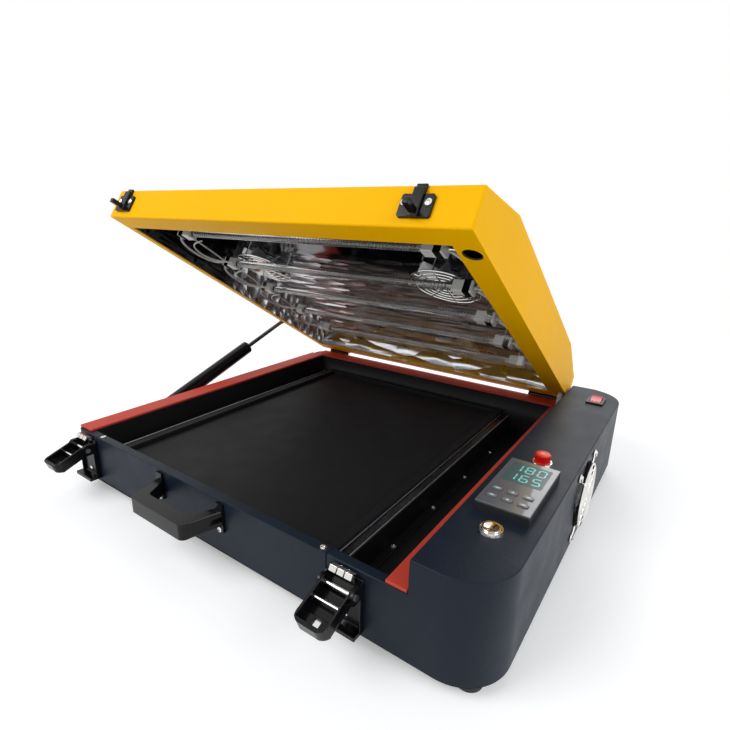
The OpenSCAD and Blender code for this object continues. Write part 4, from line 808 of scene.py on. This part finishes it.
upright = Matrix.Rotation(pi / 2, 4, "Y")
bm = bmesh.new()
legs = []
for k in range(4):
    angle = pi / 4 + k * pi / 2
    knee = way(angle, outer_mm, step_mm)
    legs += [(way(angle, outer_mm), knee), (knee, way(angle, foot_mm, step_mm))]
middle = on_case(guard_x, side_fan_y, side_fan_z)
wire_guard(bm, Matrix.Translation(middle) @ upright, inner_mm, outer_mm, legs)
for y in fan_corner_ys:
    for z in fan_corner_zs:
        before = set(bm.verts)
        ring(bm, eye_mm * MM, guard_wire, steps=24)
        set_in_place(bm, before, Matrix.Translation(on_case(eye_x, y, z)) @ upright)
face_outwards(bm)
guard = add_piece("side_fan_guard", bm, "base", "bright_steel")
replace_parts(guard, "fan_guard")
print("side guard:", len(guard.data.polygons), "faces")

# %% [markdown]
# The two fans in the lid hang under its roof. Each has a guard on four long legs, and a short
# spindle that the rotor turns on. Both are drawn for the closed lid and opened with it.

# %% Guards in the lid
guard_z, roof_z = lid_rim_z + 34.2, lid_rim_z + 54.5
inner_mm, outer_mm = 10.5, 42
spindle_mm, spindle_radius = 7, 1.5 * MM

bm = bmesh.new()
for x, y in lid_fans:
    legs = []
    for k in range(4):
        angle = k * pi / 2
        legs.append((way(angle, outer_mm), way(angle, outer_mm, roof_z - guard_z)))
    place = lid_turn @ Matrix.Translation(on_case(x, y, guard_z))
    wire_guard(bm, place, inner_mm, outer_mm, legs)
    bar(bm, on_lid(x, y, roof_z - spindle_mm), on_lid(x, y, roof_z), spindle_radius)
face_outwards(bm)
guard = add_piece("lid_fan_wire_guards", bm, "lid", "bright_steel")
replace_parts(guard, "lid_fan_guards")
print("lid guards:", len(guard.data.polygons), "faces")

# %% [markdown]
# A heating tube is a clear quartz tube with a wound wire in it. The wall needs an inner side too,
# or the glass would bend light like a full rod. So one bar is drawn inside another, and their ends
# are joined by flat rings. The ceramic holders hide those ends.

# %% Heating tubes: the walls
wall_outer, wall_inner, wall_sides = 4.6 * MM, 3.6 * MM, 24


def tube_wall(bm, start, end):
    """A pipe: two bars, one in the other, with a flat ring in place of their end caps."""
    before = set(bm.faces)
    bar(bm, start, end, wall_outer, wall_sides)
    bar(bm, start, end, wall_inner, wall_sides)
    caps = [f for f in bm.faces if f not in before and len(f.verts) == wall_sides]
    near = [f for f in caps if (f.calc_center_median() - start).length < MM]
    far = [f for f in caps if f not in near]
    rims = [[e for f in pair for e in f.edges] for pair in (near, far)]
    bmesh.ops.delete(bm, geom=caps, context="FACES_ONLY")
    for edges in rims:
        bmesh.ops.bridge_loops(bm, edges=edges)


glass = bmesh.new()
for y in tube_ys:
    tube_wall(glass, on_lid(tube_x0, y, tube_z), on_lid(tube_x1, y, tube_z))
face_outwards(glass)
walls = add_piece("quartz_tube_walls", glass, "lid", "quartz")
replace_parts(walls, "quartz_tubes")
print("tube walls:", len(walls.data.polygons), "faces")

# %% [markdown]
# The winding is a small circle spun many times around the tube's axis while it moves along it. A
# drawn texture would be cheaper, but through clear glass only a real wire catches the light. One
# winding is made and copied into the five tubes.

# %% Heating tubes: the windings
winding_turns, winding_steps = 76, 9
winding_radius, winding_wire = 2.0 * MM, 0.4 * MM
winding_inset = 8

coil = bmesh.new()
section = wire_section(coil, winding_radius, winding_wire, sides=4)
run = (tube_x1 - tube_x0 - 2 * winding_inset) * MM
steps = winding_turns * winding_steps
bmesh.ops.spin(coil, geom=section, cent=(0, 0, 0), axis=(0, 0, 1), dvec=(0, 0, run / steps),
               angle=2 * pi * winding_turns, steps=steps, use_duplicate=False)
close_holes(coil)
bmesh.ops.rotate(coil, verts=coil.verts, matrix=Matrix.Rotation(pi / 2, 3, "Y"))
one_coil = bpy.data.meshes.new("coil")
coil.to_mesh(one_coil)
coil.free()
windings = bmesh.new()
for y in tube_ys:
    before = set(windings.verts)
    windings.from_mesh(one_coil)
    start = on_case(tube_x0 + winding_inset, y, tube_z)
    set_in_place(windings, before, lid_turn @ Matrix.Translation(start))
bpy.data.meshes.remove(one_coil)
face_outwards(windings)
coil_piece = add_piece("tube_windings", windings, "lid", "rotor_steel")
print("windings:", len(coil_piece.data.polygons), "faces")

# %% [markdown]
# The heating leads are stiff sleeved wires that run in bows from one ceramic end to the next. A
# row of short cylinders would show its joints, so their bows are smooth curves with a round
# section, made a mesh. Beside each lead runs a thinner, slacker one, as in the photograph.

# %% Heating leads
# Where the ceramic ends stop, and the way from there to the lid's wall
lead_ends = ((tube_x0 - 24, -1), (tube_x1 + 24, 1))
lead_radius, slack_radius = 1.7 * MM, 1.2 * MM
lead_start = 2.3
bow_steps = 10
# How far a bow swings out, and how far it hangs down
lead_bow, slack_bow, inner_bow = (21, 8), (13, -6), (34, 5)


def sleeved_wires(bm, paths, radius):
    """Adds smooth round wires, one for each list of points, to a bmesh."""
    data = bpy.data.curves.new("wires", "CURVE")
    data.dimensions = "3D"
    data.bevel_depth = radius
    data.bevel_resolution = 2
    data.resolution_u = 3
    data.use_fill_caps = True
    for points in paths:
        spline = data.splines.new("NURBS")
        spline.points.add(len(points) - 1)
        for point, place in zip(spline.points, points):
            point.co = (*place, 1)
        spline.use_endpoint_u = True
        spline.order_u = 4
    holder = bpy.data.objects.new("wires", data)
    mesh = holder.to_mesh()
    bm.from_mesh(mesh)
    holder.to_mesh_clear()
    bpy.data.objects.remove(holder)
    bpy.data.curves.remove(data)


def bow(x, y0, y1, side, shape, height=tube_z):
    """Points from y0 to y1 on a bow of this shape, out to the left (-1) or the right (1)."""
    out, sag = shape
    points = []
    for i in range(bow_steps + 1):
        t = i / bow_steps
        swing = sin(pi * t)
        y = y0 + (y1 - y0) * (t - sin(2 * pi * t) / 9)
        points.append(on_lid(x + side * out * swing ** 0.8, y, height - sag * swing))
    return points


wide, slack = [], []
for y_here, y_next in zip(tube_ys, tube_ys[1:]):
    y0, y1 = y_here + lead_start, y_next - lead_start
    for x, side in lead_ends:
        wide.append(bow(x, y0, y1, side, lead_bow))
        slack.append(bow(x, y0 - 1.5, y1 + 1.5, side, slack_bow))
        # At the left a third wire starts further in and runs a little lower
        if side < 0:
            slack.append(bow(x + 26, y0 + 12, y1 - 9, side, inner_bow, tube_z - 3))
bm = bmesh.new()
sleeved_wires(bm, wide, lead_radius)
sleeved_wires(bm, slack, slack_radius)
leads = add_piece("sleeved_leads", bm, "lid", "lead_sleeve")
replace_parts(leads, "heater_leads")
print("leads:", len(wide), "thick and", len(slack), "thin")

# %% [markdown]
# Where a lead enters its ceramic end it is crimped into a small steel terminal: a thick collar and
# a thinner neck, two round bars in a row.

# %% Lead terminals
collar_radius, neck_radius = 2.6 * MM, 1.5 * MM
collar_end, neck_end = 5, 9

bm = bmesh.new()
for y in tube_ys:
    for x, side in lead_ends:
        shoulder = on_lid(x + side * collar_end, y, tube_z)
        bar(bm, on_lid(x, y, tube_z), shoulder, collar_radius, 12)
        bar(bm, shoulder, on_lid(x + side * neck_end, y, tube_z), neck_radius, 8)
terminals = add_piece("lead_terminals", bm, "lid", "bright_steel")
print("terminals:", len(terminals.data.polygons), "faces")

# %% [markdown]
# A bright spring band is clipped around each ceramic end and holds it in its clip. It is bent from
# thin sheet, so a cube without two of its sides is given the sheet's thickness.

# %% Spring bands on the ceramic ends
band_width, band_size, band_inset = 8 * MM, 14.8 * MM, 7
band_sheet = 0.5 * MM

bands = bmesh.new()
for y in tube_ys:
    for x, side in lead_ends:
        made = bmesh.ops.create_cube(bands, size=1)["verts"]
        open_ends = [f for f in {f for v in made for f in v.link_faces} if abs(f.normal.x) > 0.9]
        bmesh.ops.delete(bands, geom=open_ends, context="FACES_ONLY")
        middle = Matrix.Translation(on_case(x - side * band_inset, y, tube_z))
        size = Matrix.Diagonal((band_width, band_size, band_size, 1))
        bmesh.ops.transform(bands, matrix=lid_turn @ middle @ size, verts=made)
bmesh.ops.solidify(bands, geom=bands.faces, thickness=band_sheet)
face_outwards(bands)
band_piece = add_piece("ceramic_bands", bands, "lid", "bright_steel")
print("bands:", len(band_piece.data.polygons), "faces")

# %% [markdown]
# The controller's window is a small pane with rounded corners, a shade greener than the grey face
# around it. It lies on the face as a thin plate, since a print in a texture would blur up close.

# %% Display window
window_half = (19, 20.5)
window_y, window_rise, window_corner = 160, 0.08, 1.5

bm = bmesh.new()
pane = bmesh.ops.create_grid(bm, x_segments=1, y_segments=1, size=1)["verts"]
bmesh.ops.scale(bm, verts=pane, vec=(window_half[0] * MM, window_half[1] * MM, 1))
bmesh.ops.translate(bm, verts=pane, vec=on_case(panel_x, window_y, face_z + window_rise))
bmesh.ops.bevel(bm, geom=list(bm.verts), offset=window_corner * MM, segments=4, profile=0.5,
                affect="VERTICES", material=-1)
thicken(bm, mark_depth)
add_piece("display_window", bm, "base", "grey_face", "window")
print("window:", 2 * window_half[0], "by", 2 * window_half[1], "mm")

# %% [markdown]
# The window shows two rows of three plain digits. A digit is built of seven slim bars with pointed
# ends, as on the real display. Which bars are lit follows from the digit, so any number can be set.

# %% Display digits
lit_bars = {"0": "abcdef", "1": "bc", "2": "abged", "3": "abgcd", "4": "fgbc", "5": "afgcd",
            "6": "afgedc", "7": "abc", "8": "abcdefg", "9": "abcdfg"}
# For each bar: its place across, its place along, and whether it stands upright
bar_places = {"a": (0, 2, False), "b": (1, 1, True), "c": (1, -1, True), "d": (0, -2, False),
              "e": (-1, -1, True), "f": (-1, 1, True), "g": (0, 0, False)}
digit_rows = {170: "180", 151: "165"}
digit_pitch, digit_rise = 11.5, 0.2
half_across, half_along = 3.4, 6.4
bar_half, bar_gap = 0.75, 0.6


def seven_bars(bm, digit, x, y, z):
    """The lit bars of one digit, each a flat six-sided face with pointed ends."""
    for key in lit_bars[digit]:
        across, along, upright = bar_places[key]
        length = (half_along if upright else 2 * half_across) - bar_gap
        made = bmesh.ops.create_circle(bm, cap_ends=True, segments=6, radius=1)["verts"]
        bmesh.ops.rotate(bm, verts=made, matrix=Matrix.Rotation(pi / 2, 3, "Z"))
        for v in made:
            tip = abs(v.co.y) < 0.1
            v.co.x = (1 if v.co.x > 0 else -1) * (length / 2 - (0 if tip else bar_half))
            v.co.y = 0 if tip else (bar_half if v.co.y > 0 else -bar_half)
        if upright:
            bmesh.ops.rotate(bm, verts=made, matrix=Matrix.Rotation(pi / 2, 3, "Z"))
        bmesh.ops.scale(bm, verts=made, vec=(MM, MM, MM))
        middle = on_case(x + across * half_across, y + along * half_along / 2, z)
        bmesh.ops.translate(bm, verts=made, vec=middle)


bm = bmesh.new()
for row_y, digits in digit_rows.items():
    for i, digit in enumerate(digits):
        seven_bars(bm, digit, panel_x + digit_pitch * (i - 1), row_y, face_z + digit_rise)
thicken(bm, mark_depth)
add_piece("display_digits", bm, "base", "grey_face", "digits")
print("digits:", list(digit_rows.values()))

# %% [markdown]
# Each key carries a small pale mark: an arrow head on the middle keys, a bar on the others. The
# marks are pieces of their own, because each one has to travel down with its key.

# %% Key marks
key_pitch, key_rows, mark_rise = 14, (120, 106), 1.06
mark_radius, bar_shape = 2.0 * MM, (1.6, 0.6, 1)

for n in range(6):
    column, row = n % 3, n // 3
    sides = 3 if column == 1 else 4
    bm = bmesh.new()
    made = bmesh.ops.create_circle(bm, cap_ends=True, segments=sides, radius=mark_radius)["verts"]
    if sides == 4:
        bmesh.ops.scale(bm, verts=made, vec=bar_shape)
    middle = on_case(panel_x + (column - 1) * key_pitch, key_rows[row], face_z + mark_rise)
    bmesh.ops.translate(bm, verts=made, vec=middle)
    thicken(bm, mark_depth)
    add_piece(f"key_{n + 1}_mark", bm, f"key_{n + 1}_cap", "grey_keys", "key_marks")
print("six key marks")

# %% [markdown]
# The gas strut's mouth is closed by a gland, a stepped ring that the rod slides through. Its
# profile is turned about the strut's axis: a circle is extruded from one step to the next, and the
# last step closes on the first.

# %% Gland in the strut's mouth
strut_low = on_case(-15, 115, 37)
strut_high = on_lid(-15, 386, 84.3)
mouth_reach, gland_sides = 206, 40
# From step to step: the radius, and the height above the mouth
gland_profile = ((10.9, 0.0), (10.9, 1.0), (9.6, 2.2), (5.6, 2.4), (5.0, 3.4), (3.9, 3.4),
                 (3.9, 0.0))

strut_way = (strut_high - strut_low).normalized()
mouth = strut_low + strut_way * mouth_reach * MM
bm = bmesh.new()
bore = gland_profile[-1][0] * MM
bmesh.ops.create_circle(bm, cap_ends=False, segments=gland_sides, radius=bore)
edges = list(bm.edges)
for radius, height in gland_profile:
    grown = bmesh.ops.extrude_edge_only(bm, edges=edges)["geom"]
    edges = [g for g in grown if isinstance(g, bmesh.types.BMEdge)]
    for v in (g for g in grown if isinstance(g, bmesh.types.BMVert)):
        flat = Vector((v.co.x, v.co.y, 0)).normalized() * radius * MM
        v.co = Vector((flat.x, flat.y, height * MM))
bmesh.ops.remove_doubles(bm, verts=bm.verts, dist=weld_gap)
face_outwards(bm)
along_strut = strut_way.to_track_quat("Z", "X").to_matrix().to_4x4()
bmesh.ops.transform(bm, matrix=Matrix.Translation(mouth) @ along_strut, verts=bm.verts)
add_piece("strut_gland", bm, "strut_tube", "black_hardware")
print("gland at", [round(v, 3) for v in mouth])

# %% [markdown]
# Each folded top edge of the drawer slides carries a thin bar of lighter metal, a painted highlight
# that draws one thin light line along the edge.

# %% Painted highlights on the slides' edges
slide_edge_xs = (49.6, 60.4, 413.6, 424.4)
slide_from_y, slide_to_y, slide_top_z = 12.3, 451.7, 41
line_radius = 0.6 * MM

# Painted highlight: each bar's lighter metal draws the light line along one slide edge
bm = bmesh.new()
for x in slide_edge_xs:
    start, end = (on_case(x, y, slide_top_z) for y in (slide_from_y, slide_to_y))
    bar(bm, start, end, line_radius)
add_piece("slide_edge_painted_highlights", bm, "base", "zinc_steel")
print(len(slide_edge_xs), "slide edges")

# %% [markdown]
# A bright pin crosses each latch lever and carries the claw. It is drawn in the closed lever's own
# frame about the pivot, then turned with the open lever.

# %% Cross pins of the latch levers
lever_turn = Matrix.Rotation(radians(110), 4, "X")
pivot_y, pivot_z = -12, 49
# In the closed lever's own frame
pin_half, pin_out, pin_up, pin_radius = 13.1, 1.5, 15, 1.4

for side, x in zip(("left", "right"), latch_xs):
    bm = bmesh.new()
    start, end = (Vector((reach, pin_out, pin_up)) * MM for reach in (-pin_half, pin_half))
    bar(bm, start, end, pin_radius * MM, 12)
    pivot = Matrix.Translation(on_case(x, pivot_y, pivot_z))
    bmesh.ops.transform(bm, matrix=pivot @ lever_turn, verts=bm.verts)
    add_piece(side + "_lever_cross_pin", bm, side + "_latch", "bright_steel")
print("two cross pins")

# %% [markdown]
# The middle of the red button's top carries a painted highlight: a round patch of a lighter red, as
# thin as a coat of paint, in place of a painted texture.

# %% Painted highlight on the red button's centre
button_y, button_top_z, patch_radius = 213, 107.55, 3.2 * MM

bm = bmesh.new()
patch = bmesh.ops.create_circle(bm, cap_ends=True, segments=32, radius=patch_radius)["verts"]
bmesh.ops.translate(bm, verts=patch, vec=on_case(panel_x, button_y, button_top_z))
thicken(bm, mark_depth)
add_piece("red_button_painted_highlight", bm, "stop_button", "red_plastic", "painted_highlight_pink")
print("button centre made")

# %% [markdown]
# A rubber ring lines the hole in the lid's folded flange, so that its cut edge can't chafe what is
# led through. It is a ring of round rubber around the hole, drawn for the closed lid.

# %% Rubber ring in the flange
grommet_radius, rubber_radius = 9.2 * MM, 1.1 * MM
flange_hole = (487, 41.5, 68.5)

bm = bmesh.new()
ring(bm, grommet_radius, rubber_radius, steps=32)
hole = lid_turn @ Matrix.Translation(on_case(*flange_hole))
bmesh.ops.transform(bm, matrix=hole, verts=bm.verts)
face_outwards(bm)
add_piece("flange_grommet", bm, "lid", "black_rubber")
print("rubber ring made")

# %% [markdown]
# The CAD part's box, taken before any piece was added, is printed. The picture's model must
# stay within the CAD part's box.

# %% Size of the CAD part
print("cad", [round(v, 3) for c in cad_box for v in c])
